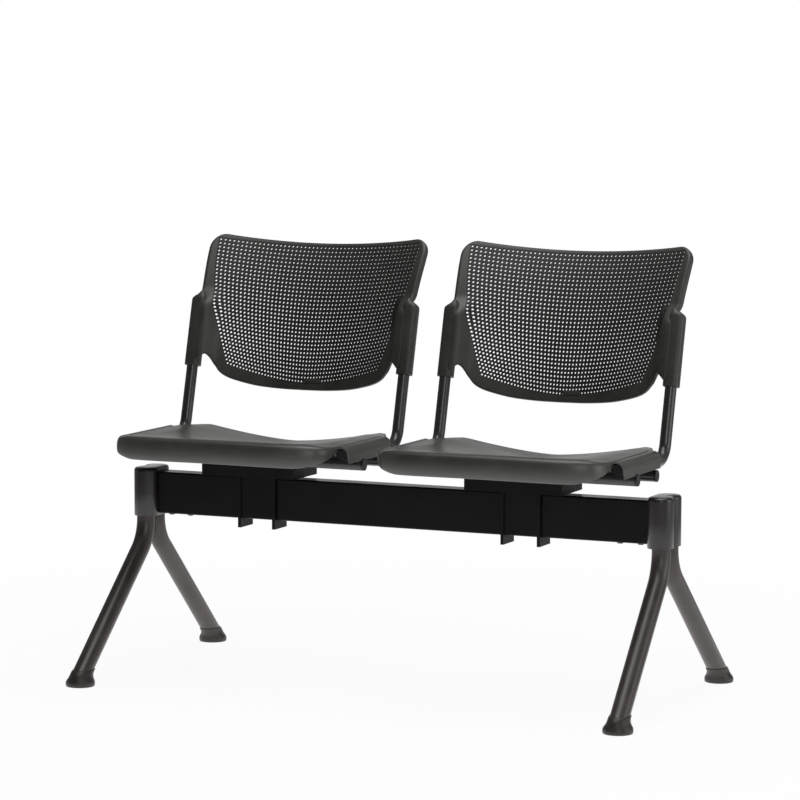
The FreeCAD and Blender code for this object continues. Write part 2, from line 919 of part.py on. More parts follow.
def shell_solid(top, thickness):
    """Solid between a grid surface and its copy moved against the normal by the thickness."""
    rows = len(top)
    columns = len(top[0])
    under = []
    for i in range(rows):
        line = []
        for j in range(columns):
            along = top[min(i + 1, rows - 1)][j] - top[max(i - 1, 0)][j]
            across = top[i][min(j + 1, columns - 1)] - top[i][max(j - 1, 0)]
            normal = along.cross(across)
            normal.normalize()
            line.append(top[i][j] - normal * thickness)
        under.append(line)
    surfaces = []
    for grid in (top, under):
        surface = Part.BSplineSurface()
        surface.interpolate(grid)
        surfaces.append(surface)
    faces = [surface.toShape() for surface in surfaces]
    first, second = surfaces
    u_start, u_end, v_start, v_end = first.bounds()
    second_u = second.bounds()[:2]
    second_v = second.bounds()[2:]
    pairs = [
        (first.uIso(u_start), second.uIso(second_u[0])),
        (first.uIso(u_end), second.uIso(second_u[1])),
        (first.vIso(v_start), second.vIso(second_v[0])),
        (first.vIso(v_end), second.vIso(second_v[1])),
    ]
    faces += [Part.makeRuledSurface(a.toShape(), b.toShape()) for a, b in pairs]
    shell = Part.makeShell(faces)
    shell.sewShape()
    solid = Part.makeSolid(shell)
    if solid.Volume < 0:
        solid.reverse()
    return solid


def pan_height(across, back):
    """Top of the seat pan: level at the front and the sides, hollow towards the rear middle."""
    hollow_from = 90.0
    rise = size("seat_front_height") - size("seat_rear_height")
    reach = hollow_from - size("seat_front") - size("seat_lip_depth")
    ahead = max(0.0, hollow_from - back) / reach
    middle = size("seat_rear_height") + rise * ahead**1.5
    rear_fall = 4.0 * smooth((back - 60.0) / 85.0)
    side = size("seat_side_height") - rear_fall
    share = min(1.0, abs(across) / 182.0) ** 1.5
    return middle + (side - middle) * share


def seat_pan():
    """Grid over the pan from the rear edge to the foot of the rolled front lip."""
    columns = 33
    pan_rows = 22
    lip_rows = 8
    grid = []
    for i in range(pan_rows + lip_rows):
        line = []
        for j in range(columns):
            # columns crowd together towards both ends
            share = math.sin(math.pi / 2 * (2 * j / (columns - 1) - 1))
            reach = abs(share)
            lip_front = size("seat_front") + 57.0 * reach**6
            crest = lip_front + size("seat_lip_depth") * (1 - 0.6 * reach**8)
            if i < pan_rows:
                step = i / (pan_rows - 1)
                back = size("seat_rear") + (crest - size("seat_rear")) * step
                widen = smooth((-122.0 - back) / 26.0)
                narrow = smooth((back - 60.0) / 40.0)
                half = size("seat_half_width")
                half += (size("seat_lip_half_width") - half) * widen
                half += (size("seat_rear_half_width") - half) * narrow
                height = pan_height(share * half, back)
            else:
                angle = math.pi / 2 * (i - pan_rows + 1) / lip_rows
                half = size("seat_lip_half_width")
                back = crest - (crest - lip_front) * math.sin(angle)
                drop = size("seat_lip_drop") - 5.0 * reach**2
                drop -= (size("seat_lip_drop") - 5.0) * reach**8
                height = pan_height(share * half, crest) - drop * (1 - math.cos(angle))
            line.append(Vector(share * half, back, height))
        grid.append(line)
    return shell_solid(grid, size("seat_thickness"))


def arch_face(radius, centre, bottom):
    """Face under a half circle with straight legs, drawn in the XZ plane at the origin."""
    left = Vector(-radius, 0, centre)
    right = Vector(radius, 0, centre)
    crown = Vector(0, 0, centre + radius)
    low_left = Vector(-radius, 0, bottom)
    low_right = Vector(radius, 0, bottom)
    edges = [
        Part.LineSegment(low_left, left).toShape(),
        Part.Arc(left, crown, right).toShape(),
        Part.LineSegment(right, low_right).toShape(),
        Part.LineSegment(low_right, low_left).toShape(),
    ]
    return Part.Face(Part.Wire(edges))


def hood(name, side):
    """Raised level channel wall over a side tube, still without the tube's room."""
    radius = size("hood_radius")
    face = arch_face(radius, size("hood_crown") - radius, size("hood_bottom"))
    piece = doc.addObject("Part::Feature", name)
    piece.Shape = face.extrude(Vector(0, size("hood_rear") - size("hood_front"), 0))
    place = Vector(side * size("frame_half_width"), size("hood_front"), 0)
    piece.Placement = Placement(place, Rotation())
    return piece


def hood_room(name, side):
    """Space for the tube inside the channel, open downwards, along the tube's own slope."""
    radius = size("frame_tube_radius") + size("hood_gap")
    front = size("hood_front") - 1
    rear = size("hood_rear") + 1
    face = arch_face(radius, 0, -3 * radius)
    piece = doc.addObject("Part::Feature", name)
    piece.Shape = face.extrude(Vector(0, rear - front, run_height(rear) - run_height(front)))
    place = Vector(side * size("frame_half_width"), front, run_height(front))
    piece.Placement = Placement(place, Rotation())
    return piece


def make_seat_shell(seat):
    """Moulded pan with its two tube channels and four screw bosses."""
    name = f"seat_shell_{seat}"
    middle = Vector(SEATS[seat], 0, 0)
    pan = doc.addObject("Part::Feature", f"{name}_pan")
    pan.Shape = seat_pan()
    channels = [hood(f"{name}_channel_{i}", side) for i, side in enumerate((-1, 1))]
    tube_room = [hood_room(f"{name}_room_{i}", side) for i, side in enumerate((-1, 1))]
    bosses = []
    bores = []
    for row_name, (y_alias, z_alias) in CROSS_TUBES.items():
        y = size(y_alias)
        start = size(z_alias) + size("frame_tube_radius")
        under = pan_height(size("boss_x"), y) - size("seat_thickness") / 2
        for side in (-1, 1):
            foot = Vector(side * size("boss_x"), y, start)
            label = f"{name}_boss_{row_name}_{side + 1}"
            bosses.append(
                cylinder(
                    label, cell("boss_radius"), str(under - start), Placement(foot, Rotation())
                )
            )
            bores.append(
                cylinder(
                    f"{label}_bore",
                    SEAT_SCREW_HOLE,
                    str(under - start - size("seat_thickness")),
                    Placement(foot, Rotation()),
                )
            )
    reach = size("cross_half_length") + 2 * size("plug_head")
    arches = [
        cylinder(
            f"{name}_arch_{row_name}",
            f"{cell('frame_tube_radius')} + {cell('hood_gap')}",
            str(2 * reach),
            Placement(Vector(-reach, size(y_alias), size(z_alias)), ALONG_X),
        )
        for row_name, (y_alias, z_alias) in CROSS_TUBES.items()
    ]
    whole = fuse(f"{name}_whole", [pan] + channels + bosses)
    whole.Refine = False
    shell = cut(name, whole, fuse(f"{name}_bores", bores + tube_room + arches))
    shell.Placement = Placement(middle, Rotation())
    return keep(shell, name)


def make_seat_screws(seat):
    """Four screws up through the cross tubes into the seat's bosses."""
    name = f"seat_screws_{seat}"
    screws = []
    for row_name, (y_alias, z_alias) in CROSS_TUBES.items():
        under_tube = size(z_alias) - size("frame_tube_radius")
        for side in (-1, 1):
            place = Vector(SEATS[seat] + side * size("boss_x"), size(y_alias), under_tube)
            screws.append(
                screw(
                    f"{name}_{row_name}_{side + 1}",
                    size("seat_screw_radius"),
                    4.5,
                    3.0,
                    2 * size("frame_tube_radius") + 9.0,
                    Placement(place, UPSIDE_DOWN),
                )
            )
    return keep(group(name, screws), name)


# Lower edge of the back: distance across from its middle and height of the edge there
BACK_LOWER_EDGE = (
    (0.0, 526.0),
    (50.0, 527.0),
    (99.0, 531.5),
    (138.0, 540.0),
    (160.0, 547.5),
    (174.0, 556.5),
    (183.0, 568.0),
    (189.0, 580.0),
    (195.0, 588.5),
    (202.0, 592.5),
    (209.0, 593.5),
)


def back_half(height):
    """Half width of the back, which spreads a little above the sleeves."""
    spread = smooth((height - size("back_sleeve_top")) / 110.0)
    return size("back_half_width") + size("back_spread") * spread


def back_depth(across, height):
    """Place of the back's front face along Y: hollow across, curling back towards its top."""
    reach = across / back_half(height)
    curl = max(0.0, (height - size("back_arch")) / 235.0) ** 2.5
    front = upright_back(height) - size("back_forward") + size("back_flare") * curl
    return front + size("back_hollow") * (1 - reach**2)


def back_sheet():
    """Smooth sheet a little larger than the back all round, bent to its face."""
    columns = 13
    rows = 13
    half = size("back_half_width") + size("back_spread") + 10.0
    bottom = BACK_LOWER_EDGE[0][1] - 10.0
    top = size("back_top") + size("back_corner_rise") + 10.0
    grid = []
    for i in range(rows):
        height = bottom + (top - bottom) * i / (rows - 1)
        line = []
        for j in range(columns):
            across = half * (1 - 2 * j / (columns - 1))
            line.append(Vector(across, back_depth(across, height), height))
        grid.append(line)
    return shell_solid(grid, size("back_thickness"))


def back_top_edge():
    """Points over the top edge: a shallow rise to both sides, ending in rounded corners."""
    widest = size("back_half_width") + size("back_spread")
    corner = size("back_corner_radius")
    places = []
    for turn in range(90, 0, -15):
        angle = math.radians(turn)
        places.append((widest - corner * (1 - math.sin(angle)), corner * (1 - math.cos(angle))))
    for share in (1.0, 0.75, 0.5, 0.25):
        places.append(((widest - corner) * share, 0.0))
    half = []
    for across, drop in places:
        rise = size("back_corner_rise") * (across / widest) ** 2
        half.append(Vector(across, 0, size("back_top") + rise - drop))
    mirrored = [Vector(-point.x, 0, point.z) for point in reversed(half)]
    return half + [Vector(0, 0, size("back_top"))] + mirrored


def back_outline():
    """Closed outline of the back in the XZ plane."""
    half = [Vector(across, 0, low) for across, low in BACK_LOWER_EDGE]
    mirrored = [Vector(-point.x, 0, point.z) for point in reversed(half[1:])]
    top = back_top_edge()
    shoulder = Vector(size("back_half_width"), 0, half[-1].z)
    side = []
    for i in range(7):
        height = shoulder.z + (top[0].z - shoulder.z) * i / 6
        side.append(Vector(back_half(height), 0, height))
    side[-1] = top[0]
    other_side = [Vector(-point.x, 0, point.z) for point in reversed(side)]
    edges = []
    for points in (mirrored + half, side, top, other_side):
        curve = Part.BSplineCurve()
        curve.interpolate(points)
        edges.append(curve.toShape())
    edges.append(Part.makeLine(half[-1], shoulder))
    edges.append(Part.makeLine(other_side[-1], mirrored[0]))
    return Part.Wire(Part.__sortEdges__(edges))


def back_panel():
    """The bent sheet inside the outline carried from front to rear."""
    face = Part.Face(back_outline())
    block = face.extrude(Vector(0, 400, 0))
    return back_sheet().common(block)


def make_back_shell(seat):
    """Moulded back with a closed sleeve down each side that slides over an upright."""
    name = f"back_shell_{seat}"
    panel = doc.addObject("Part::Feature", f"{name}_panel")
    panel.Shape = back_panel()
    sleeves = []
    rooms = []
    for i, side in enumerate((-1, 1)):
        bottom = size("back_sleeve_bottom")
        start = Vector(side * size("frame_half_width"), upright_back(bottom), bottom)
        lean = math.cos(math.radians(size("frame_recline")))
        length = f"({cell('back_sleeve_top')} - {cell('back_sleeve_bottom')}) / {lean}"
        sleeves.append(
            cylinder(
                f"{name}_sleeve_{i}",
                cell("back_sleeve_radius"),
                length,
                Placement(start, RECLINE),
            )
        )
        top_of_tube = Vector(
            side * size("frame_half_width"),
            size("frame_vertex_back"),
            size("frame_vertex_height"),
        )
        rooms.append(
            cylinder(
                f"{name}_room_{i}",
                f"{cell('frame_tube_radius')} + 0.2",
                cell("frame_rise"),
                Placement(top_of_tube, RECLINE),
            )
        )
    whole = fuse(f"{name}_whole", [panel] + sleeves)
    whole.Refine = False
    holes = [back_screw_hole(f"{name}_screw_hole_{i}", side) for i, side in enumerate((-1, 1))]
    shell = cut(name, whole, fuse(f"{name}_rooms", rooms + holes))
    shell.Placement = Placement(Vector(SEATS[seat], 0, 0), Rotation())
    return keep(shell, name)


BACK_SCREW_HEIGHT = 610.0
BACK_SCREW_TURN = Rotation(X_AXIS, -90 - size("frame_recline"))


def back_screw_place(side):
    """Point on an upright's axis level with its screw."""
    return Vector(
        side * size("frame_half_width"), upright_back(BACK_SCREW_HEIGHT), BACK_SCREW_HEIGHT
    )


def back_screw_hole(name, side):
    return cylinder(
        name,
        f"{cell('seat_screw_radius')} + {cell('screw_gap')}",
        "20",
        Placement(back_screw_place(side), BACK_SCREW_TURN),
    )


def make_back_screws(seat):
    """Two short screws from behind, through the sleeves, against the uprights."""
    name = f"back_screws_{seat}"
    screws = []
    for i, side in enumerate((-1, 1)):
        outward = BACK_SCREW_TURN.multVec(Z_AXIS)
        place = back_screw_place(side) + Vector(SEATS[seat], 0, 0)
        place += outward * size("back_sleeve_radius")
        screws.append(
            screw(
                f"{name}_{i}",
                size("seat_screw_radius"),
                4.5,
                2.5,
                size("back_sleeve_radius") - size("frame_tube_radius") - 0.1,
                Placement(place, BACK_SCREW_TURN),
            )
        )
    return keep(group(name, screws), name)


make_beam()
for end in ENDS:
    make_joint(end)
    make_joint_screws(end)
    make_cover(end)
    for row_name, row in (("front", -1), ("rear", 1)):
        make_leg(end, row_name, row)
        make_foot(end, row_name, row)
for seat in SEATS:
    make_saddle(seat)
    make_tray(seat)
    make_saddle_screws(seat)
    for row_name in CROSS_TUBES:
        make_cross_tube(seat, row_name)
    make_cross_plugs(seat)
    make_side_tube(seat, "left", -1)
    make_side_tube(seat, "right", 1)
    make_side_plugs(seat)
    make_seat_shell(seat)
    make_seat_screws(seat)
    make_back_shell(seat)
    make_back_screws(seat)

doc.recompute()

failed = [o.Name for o in doc.Objects if "Invalid" in o.State or "Error" in o.State]
if failed:
    raise ValueError(f"failed objects: {failed}")
for piece in nodes:
    if piece.Shape.isNull() or not piece.Shape.isValid():
        raise ValueError(f"{piece.Label} has no valid shape")

for piece in nodes:
    piece.Shape.exportStep(f"parts/{piece.Label}.step")
    bounds = piece.Shape.BoundBox
    print(
        f"{piece.Label}: {len(piece.Shape.Solids)} solid(s), {piece.Shape.Volume / 1000:.1f} cm3,"
        f" x {bounds.XMin:.1f} {bounds.XMax:.1f}, y {bounds.YMin:.1f} {bounds.YMax:.1f},"
        f" z {bounds.ZMin:.1f} {bounds.ZMax:.1f}"
    )
print(len(nodes), "nodes")
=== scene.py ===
import json
import math
import bmesh
import bpy
import numpy as np
from mathutils import Matrix


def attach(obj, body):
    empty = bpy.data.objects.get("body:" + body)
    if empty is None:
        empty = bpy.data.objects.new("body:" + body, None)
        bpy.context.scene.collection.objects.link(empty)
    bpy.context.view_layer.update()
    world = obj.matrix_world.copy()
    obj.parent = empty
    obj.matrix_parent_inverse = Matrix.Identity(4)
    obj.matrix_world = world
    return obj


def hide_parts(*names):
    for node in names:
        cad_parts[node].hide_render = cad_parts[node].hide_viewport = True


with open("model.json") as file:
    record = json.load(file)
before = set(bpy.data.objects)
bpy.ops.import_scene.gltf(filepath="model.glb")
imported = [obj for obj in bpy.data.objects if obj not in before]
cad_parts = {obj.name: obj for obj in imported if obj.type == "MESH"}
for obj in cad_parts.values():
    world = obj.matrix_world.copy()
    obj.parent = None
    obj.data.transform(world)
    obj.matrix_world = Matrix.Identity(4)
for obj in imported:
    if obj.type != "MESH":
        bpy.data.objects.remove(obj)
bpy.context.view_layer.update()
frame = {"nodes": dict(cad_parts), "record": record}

# Two-seat beam seating: a steel beam on splayed legs, two seats of tube frame, moulded pan and
# perforated moulded back. Shapes are worked out in millimetres and meet the frame in metres.
# X runs along the beam, +Y to the rear, +Z up, as in the frame.

MM = 0.001
SEATS = {"left": -290.0, "right": 250.0}
SIDES = {"left": -1, "right": 1}


def linear(colour):
    """Linear red, green, blue and alpha of an sRGB hex colour such as #808080."""
    parts = np.array([int(colour[i : i + 2], 16) for i in (1, 3, 5)]) / 255.0
    low = parts / 12.92
    high = ((parts + 0.055) / 1.055) ** 2.4
    return (*np.where(parts <= 0.04045, low, high).tolist(), 1.0)


def new_object(name, data):
    """A new object of the scene."""
    obj = bpy.data.objects.new(name, data)
    bpy.context.scene.collection.objects.link(obj)
    return obj


def placement(right, up, back, place):
    """Matrix whose columns are an object's three axes and its place."""
    rows = [[right[i], up[i], back[i], place[i]] for i in range(3)]
    return Matrix(rows + [[0.0, 0.0, 0.0, 1.0]])


# Camera, solved from the photograph

camera_data = bpy.data.cameras.new("camera")
camera_data.sensor_width = 36.0
camera_data.lens = 157.369
camera_data.clip_start = 0.1
camera_data.clip_end = 100.0
camera = new_object("camera", camera_data)
camera.matrix_world = placement(
    right=(0.91294572, 0.40807503, 0.00221108),
    up=(-0.04427872, 0.09367121, 0.99461807),
    back=(0.40567168, -0.90813021, 0.10358577),
    place=(2.641442, -5.920852, 1.210994),
)
bpy.context.scene.camera = camera
bpy.context.scene.view_settings.view_transform = "Standard"


# Materials


def add(tree, kind, settings=None, links=None, values=None):
    """Adds a node: settings are its properties, values its sockets, links its sockets' sources."""
    node = tree.nodes.new(kind)
    for name, value in (settings or {}).items():
        setattr(node, name, value)
    for name, value in (values or {}).items():
        node.inputs[name].default_value = value
    for name, (source, output) in (links or {}).items():
        tree.links.new(source.outputs[output], node.inputs[name])
    return node


def new_material(name):
    """A material with an empty node tree."""
    material = bpy.data.materials.new(name)
    material.use_nodes = True
    material.node_tree.nodes.clear()
    return material


# Size in millimetres of the patches over which a finish drifts in colour and gloss, and the
# noise values between which it drifts
DRIFT_PATCH = 60.0
TONE_RANGE = (0.35, 0.65)
GLOSS_RANGE = (0.3, 0.7)


def surface(name, dark, light, rough, grain, bump, **shader):
    """A finish with slow colour drift over patches, a fine grain and a slightly uneven gloss.

    Noise of the patch size leads the colour from dark to light and the roughness between its
    two values; finer noise of the grain's size lifts the surface by bump. Grain and bump are
    in millimetres.
    """
    material = new_material(name)
    tree = material.node_tree
    place = add(tree, "ShaderNodeTexCoord")
    drift = add(
        tree,
        "ShaderNodeTexNoise",
        links={"Vector": (place, "Object")},
        values={"Scale": 1.0 / (DRIFT_PATCH * MM), "Detail": 3.0, "Roughness": 0.55},
    )
    fine = add(
        tree,
        "ShaderNodeTexNoise",
        links={"Vector": (place, "Object")},
        values={"Scale": 1.0 / (grain * MM), "Detail": 2.0, "Roughness": 0.6},
    )
    tone = add(tree, "ShaderNodeValToRGB", links={"Fac": (drift, "Fac")})
    for element, position, colour in zip(tone.color_ramp.elements, TONE_RANGE, (dark, light)):
        element.position = position
        element.color = linear(colour)
    gloss = add(
        tree,
        "ShaderNodeMapRange",
        links={"Value": (drift, "Fac")},
        values={
            "From Min": GLOSS_RANGE[0],
            "From Max": GLOSS_RANGE[1],
            "To Min": rough[0],
            "To Max": rough[1],
        },
    )
    relief = add(
        tree,
        "ShaderNodeBump",
        links={"Height": (fine, "Fac")},
        values={"Strength": 1.0, "Distance": bump * MM},
    )
    body = add(
        tree,
        "ShaderNodeBsdfPrincipled",
        links={
            "Base Color": (tone, "Color"),
            "Roughness": (gloss, "Result"),
            "Normal": (relief, "Normal"),
        },
        values=shader,
    )
    add(tree, "ShaderNodeOutputMaterial", links={"Surface": (body, "BSDF")})
    return material


# Polypropylene, injection moulded against a spark-eroded tool: a dark grey that reads satin,
# with a fine matt grain. The real grain is about 0.2 mm; it is drawn at 0.9 mm so that it shows.
seat_polypropylene = surface(
    "polypropylene_spark_eroded",
    "#2e2e2b",
    "#353531",
    (0.40, 0.48),
    0.9,
    0.05,
    **{"IOR": 1.49, "Specular IOR Level": 0.82},
)

# Moulded backs of the same polypropylene, in a duller mould finish, their colour a little darker
# than the seats' as painted shade. Its grain is drawn as coarse.
back_polypropylene_painted_shade = surface(
    "polypropylene_fine_grained_painted_shade",
    "#2b2b28",
    "#32322e",
    (0.46, 0.54),
    0.9,
    0.05,
    **{"IOR": 1.49, "Specular IOR Level": 0.6},
)

# The lands between the perforations: the same polypropylene with a duller gloss, its colour painted
# darker as painted shade for the shading round the holes
land_painted_shade = surface(
    "polypropylene_between_holes_painted_shade",
    "#171715",
    "#1c1c1a",
    (0.50, 0.58),
    0.9,
    0.05,
    **{"IOR": 1.49, "Specular IOR Level": 0.45},
)

# Steel with a fine matt black powder coat: nearly black, a soft sheen, faint orange peel of 2 mm
beam_powder_coat = surface(
    "steel_black_powder_coat",
    "#060606",
    "#0a0a0a",
    (0.32, 0.40),
    2.0,
    0.03,
    **{"IOR": 1.5, "Specular IOR Level": 0.16},
)

# Steel tube with a dark bronze powder coat: warm brown-black, satin, with some metal flake and
# orange peel of 2.5 mm
leg_powder_coat = surface(
    "steel_bronze_powder_coat",
    "#393432",
    "#443e3c",
    (0.34, 0.42),
    2.5,
    0.03,
    **{"IOR": 1.5, "Metallic": 0.32},
)

# Moulded ABS covers in the legs' colour: satin with a light grain
cover_abs = surface(
    "abs_moulded_satin",
    "#15100f",
    "#1d1817",
    (0.28, 0.34),
    0.9,
    0.04,
    **{"IOR": 1.54},
)

# Moulded polypropylene boots: warm dark grey, a little duller than the legs
foot_polypropylene = surface(
    "polypropylene_moulded_boot",
    "#221d1c",
    "#2a2523",
    (0.42, 0.52),
    0.9,
    0.05,
    **{"IOR": 1.49},
)

# Steel tube with gloss black enamel, nearly smooth; its black is lifted to a dark grey as painted
# sheen for the long light streaks it reflects
tube_enamel_painted_sheen = surface(
    "steel_gloss_black_enamel_painted_sheen",
    "#292928",
    "#323231",
    (0.24, 0.32),
    3.0,
    0.02,
    **{"IOR": 1.5},
)

# Folded sheet steel in a black powder coat like the beam's, a little duller
carrier_powder_coat = surface(
    "sheet_steel_powder_coat",
    "#0a0a0a",
    "#101010",
    (0.40, 0.50),
    2.0,
    0.03,
    **{"IOR": 1.5, "Specular IOR Level": 0.14},
)

# Polyethylene plugs, moulded smooth and slightly waxy; black, darkened further to near-black as
# painted shade for the shade at the channels' mouths
plug_polyethylene_painted_shade = surface(
    "polyethylene_moulded_painted_shade",
    "#0c0c0c",
    "#141414",
    (0.36, 0.44),
    1.2,
    0.03,
    **{"IOR": 1.51, "Specular IOR Level": 0.3},
)

# Zinc-plated steel with a black passivation: dark metal, brushed by handling
screw_steel = surface(
    "steel_black_zinc_plated",
    "#2b2b2d",
    "#3d3d40",
    (0.34, 0.46),
    0.8,
    0.02,
    **{"Metallic": 1.0},
)

FINISHES = {
    "beam_steel": beam_powder_coat,
    "leg_steel": leg_powder_coat,
    "leg_cover_plastic": cover_abs,
    "foot_plastic": foot_polypropylene,
    "frame_tube_steel": tube_enamel_painted_sheen,
    "carrier_steel": carrier_powder_coat,
    "seat_plastic": seat_polypropylene,
    "plug_plastic": plug_polyethylene_painted_shade,
    "screw_steel": screw_steel,
}

for part in frame["record"]["subparts"]:
    node = frame["nodes"][part["node"]]
    node.data.materials.clear()
    node.data.materials.append(FINISHES[part["material_slot"]])


# Meshes from grids of points


def quads(index):
    """Faces of a grid of vertex numbers: each takes a number, its right, diagonal and lower one."""
    a = index[:-1, :-1]
    b = index[:-1, 1:]
    c = index[1:, 1:]
    d = index[1:, :-1]
    return np.stack([a, b, c, d], -1).reshape(-1, 4)


WELD_DISTANCE = 0.002


def piece(name, patches, slot, node, sharp=35.0):
    """Welds patches of (points in millimetres, faces) into one closed mesh that replaces a node.

    Points that round to the same multiple of the weld distance are one vertex; faces are
    turned to point outwards; edges whose faces meet at more than the sharp angle stay sharp.
    """
    points = np.concatenate([p.reshape(-1, 3) for p, _ in patches])
    starts = np.cumsum([0] + [p.size // 3 for p, _ in patches])
    faces = [f + start for (_, f), start in zip(patches, starts)]
    key = np.round(points / WELD_DISTANCE).astype(np.int64)
    _, first, same = np.unique(key, axis=0, return_index=True, return_inverse=True)
    same = same.reshape(-1)
    faces = np.concatenate([same[f] for f in faces])
    vertices = points[first] * MM
    # a quad with two welded corners becomes a triangle, one with fewer distinct corners goes
    ring = np.roll(faces, -1, axis=1)
    repeated = faces == ring
    whole = faces[repeated.sum(1) == 0]
    thin = faces[repeated.sum(1) == 1]
    drop = repeated[repeated.sum(1) == 1].argmax(1)
    keep = (drop[:, None] + np.array([1, 2, 3])) % 4
    triangles = np.take_along_axis(thin, keep, 1)
    mesh = bpy.data.meshes.new(name)
    mesh.from_pydata(vertices.tolist(), [], whole.tolist() + triangles.tolist())
    mesh.validate()
    shell = bmesh.new()
    shell.from_mesh(mesh)
    bmesh.ops.recalc_face_normals(shell, faces=shell.faces)
    shell.to_mesh(mesh)
    shell.free()
    mesh.polygons.foreach_set("use_smooth", [True] * len(mesh.polygons))
    mesh.set_sharp_from_angle(angle=math.radians(sharp))
    obj = new_object(name, mesh)
    mesh.materials.append(FINISHES[slot])
    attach(obj, "root")
    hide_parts(node)
    return obj


def smooth(value):
    """Smooth step: 3v² - 2v³ of the value held between 0 and 1."""
    value = np.clip(value, 0.0, 1.0)
    return value * value * (3 - 2 * value)


def ringed(points):
    """Patch over a grid whose rows are closed rings."""
    rows, columns = points.shape[:2]
    index = np.arange(rows * columns).reshape(rows, columns)
    return points, quads(np.concatenate([index, index[:, :1]], 1))


def capped(points):
    """Closed patch: rings joined in order, the first and last ring drawn in to their middles."""
    first = np.repeat(points[:1].mean(1, keepdims=True), points.shape[1], 1)
    last = np.repeat(points[-1:].mean(1, keepdims=True), points.shape[1], 1)
    return ringed(np.concatenate([first, points, last]))


# Tubes


def bent_path(start, corner, end, radius, steps=24):
    """Points along two straight runs with an arc of the radius between them, tangent to both."""
    start, corner, end = (np.array(p, float) for p in (start, corner, end))
    back = (start - corner) / np.linalg.norm(start - corner)
    ahead = (end - corner) / np.linalg.norm(end - corner)
    half = 0.5 * math.acos(float(back @ ahead))
    reach = radius / math.tan(half)
    middle = (back + ahead) / np.linalg.norm(back + ahead)
    centre = corner + middle * radius / math.sin(half)
    from_centre = corner + back * reach - centre
    across = corner + ahead * reach - centre
    turn = math.pi - 2 * half
    angles = np.linspace(0, turn, steps)[:, None]
    arc = (
        np.sin(turn - angles) * from_centre + np.sin(angles) * across
    ) / math.sin(turn)
    return np.concatenate([start[None], centre + arc, end[None]])


def swept(path, radii, sides=32):
    """Rings round a path: each is a circle of its radius square to the path's direction there.

    The path lies in one plane, so the plane's normal and its cross product with the direction
    span every circle.
    """
    direction = np.gradient(path, axis=0)
    direction[0] = path[1] - path[0]
    direction[-1] = path[-1] - path[-2]
    direction /= np.linalg.norm(direction, axis=1, keepdims=True)
    normal = np.cross(direction[0], direction[-1])
    if np.linalg.norm(normal) < 1e-6:
        normal = np.cross(direction[0], (0.3, 0.5, 0.8))
    normal /= np.linalg.norm(normal)
    across = np.cross(direction, normal)
    angles = np.linspace(0, 2 * math.pi, sides, endpoint=False)
    ring = (
        np.cos(angles)[None, :, None] * normal
        + np.sin(angles)[None, :, None] * across[:, None, :]
    )
    return path[:, None, :] + ring * np.asarray(radii, float).reshape(-1, 1, 1)


TUBE_EDGE = 0.4


def along_by(start, end, distance):
    """Point at a distance from the start on the line to the end."""
    return start + (end - start) / np.linalg.norm(end - start) * distance


def hollow_tube(path, radius, wall, sides=32):
    """Closed patch of a tube: outside, a chamfer at both ends, and inside."""
    begin = along_by(path[0], path[1], TUBE_EDGE)
    finish = along_by(path[-1], path[-2], TUBE_EDGE)
    outer = swept(
        np.concatenate([path[:1], begin[None], path[1:-1], finish[None], path[-1:]]),
        [radius - TUBE_EDGE] + [radius] * len(path) + [radius - TUBE_EDGE],
        sides,
    )
    inner = swept(path, np.full(len(path), radius - wall), sides)
    return ringed(np.concatenate([outer, inner[::-1], outer[:1]]))


FRAME_RADIUS = 11.0
FRAME_HALF = 227.0
FRAME_WALL = 1.5
FRAME_BEND = 40.0
RECLINE = math.radians(14.8)
RUN_FALL = math.radians(2.0)
VERTEX_BACK = 116.0
VERTEX_HEIGHT = 434.3


def upright_back(height):
    """Place along Y of an upright's axis: the vertex plus the height above it times tan 14.8°."""
    return VERTEX_BACK + (height - VERTEX_HEIGHT) * math.tan(RECLINE)


def run_height(back):
    """Height of a run's axis: the vertex less the distance behind it times tan 2°."""
    return VERTEX_HEIGHT - (back - VERTEX_BACK) * math.tan(RUN_FALL)


# Moulded backs: a margin and rolled rim round a field of holes

# Lower edge of the back from its middle to the notch beside the sleeve: across and height
LOWER_EDGE = (
    (0.0, 526.0),
    (50.0, 527.0),
    (99.0, 531.5),
    (138.0, 540.0),
    (160.0, 547.5),
    (174.0, 556.5),
    (183.0, 568.0),
    (189.0, 580.0),
    (195.0, 588.5),
    (201.0, 592.0),
    (206.0, 591.0),
    (210.0, 587.0),
    (212.0, 580.0),
)
# From the notch up inside the sleeve to its shoulder
SHOULDER_EDGE = ((217.0, 582.0), (220.0, 596.0), (220.0, 690.0), (222.0, 701.0), (226.9, 711.0))
BACK_HALF = 227.0
BACK_SPREAD = 5.0
SPREAD_HEIGHT = 110.0
BACK_WIDEST = BACK_HALF + BACK_SPREAD
BACK_TOP = 807.0
BACK_RISE = 19.0
BACK_CORNER = 30.0
BACK_THICK = 3.9
BOWL_DEPTH = 44.0
BOWL_START = -6.0
CURL_BOTTOM = 585.0
CURL_HEIGHT = 235.0
CURL_DEPTH = 38.0
FLANK_INNER = 182.0
FLANK_WIDTH = 30.0
FLANK_TOP = 720.0
FLANK_FADE = 38.0
FLANK_FRONT = -12.3
SLEEVE_BOTTOM = 567.0
SLEEVE_TOP = 699.0
HOLE_COLUMNS = 51
HOLE_ROWS = 34
HOLE_RADIUS = 2.2
HOLE_BEVEL = 0.4
HOLE_TAPER = 0.25
# Holes whose columns stand closer than this are narrower ellipses, down to the least share
HOLE_PITCH = 7.2
HOLE_LEAST = 0.86
ROLL_RADIUS = 2.6
ROLL_BESIDE = 1.6
ROLL_ABOVE = 4.4
FLANGE_DEPTH = 7.0
FLANGE_BESIDE = 4.0
FLANGE_ABOVE = 7.5
TOP_EASE = 2.0
RIM_WALL = 2.2
RIM_ROUND = 0.5
RIM_FILLET = 1.6
MIRROR = np.array([-1.0, 1.0])


def back_half(height):
    """Half width: that at the sleeves plus the spread, gained smoothly above the sleeves."""
    return BACK_HALF + BACK_SPREAD * smooth((height - SLEEVE_TOP) / SPREAD_HEIGHT)


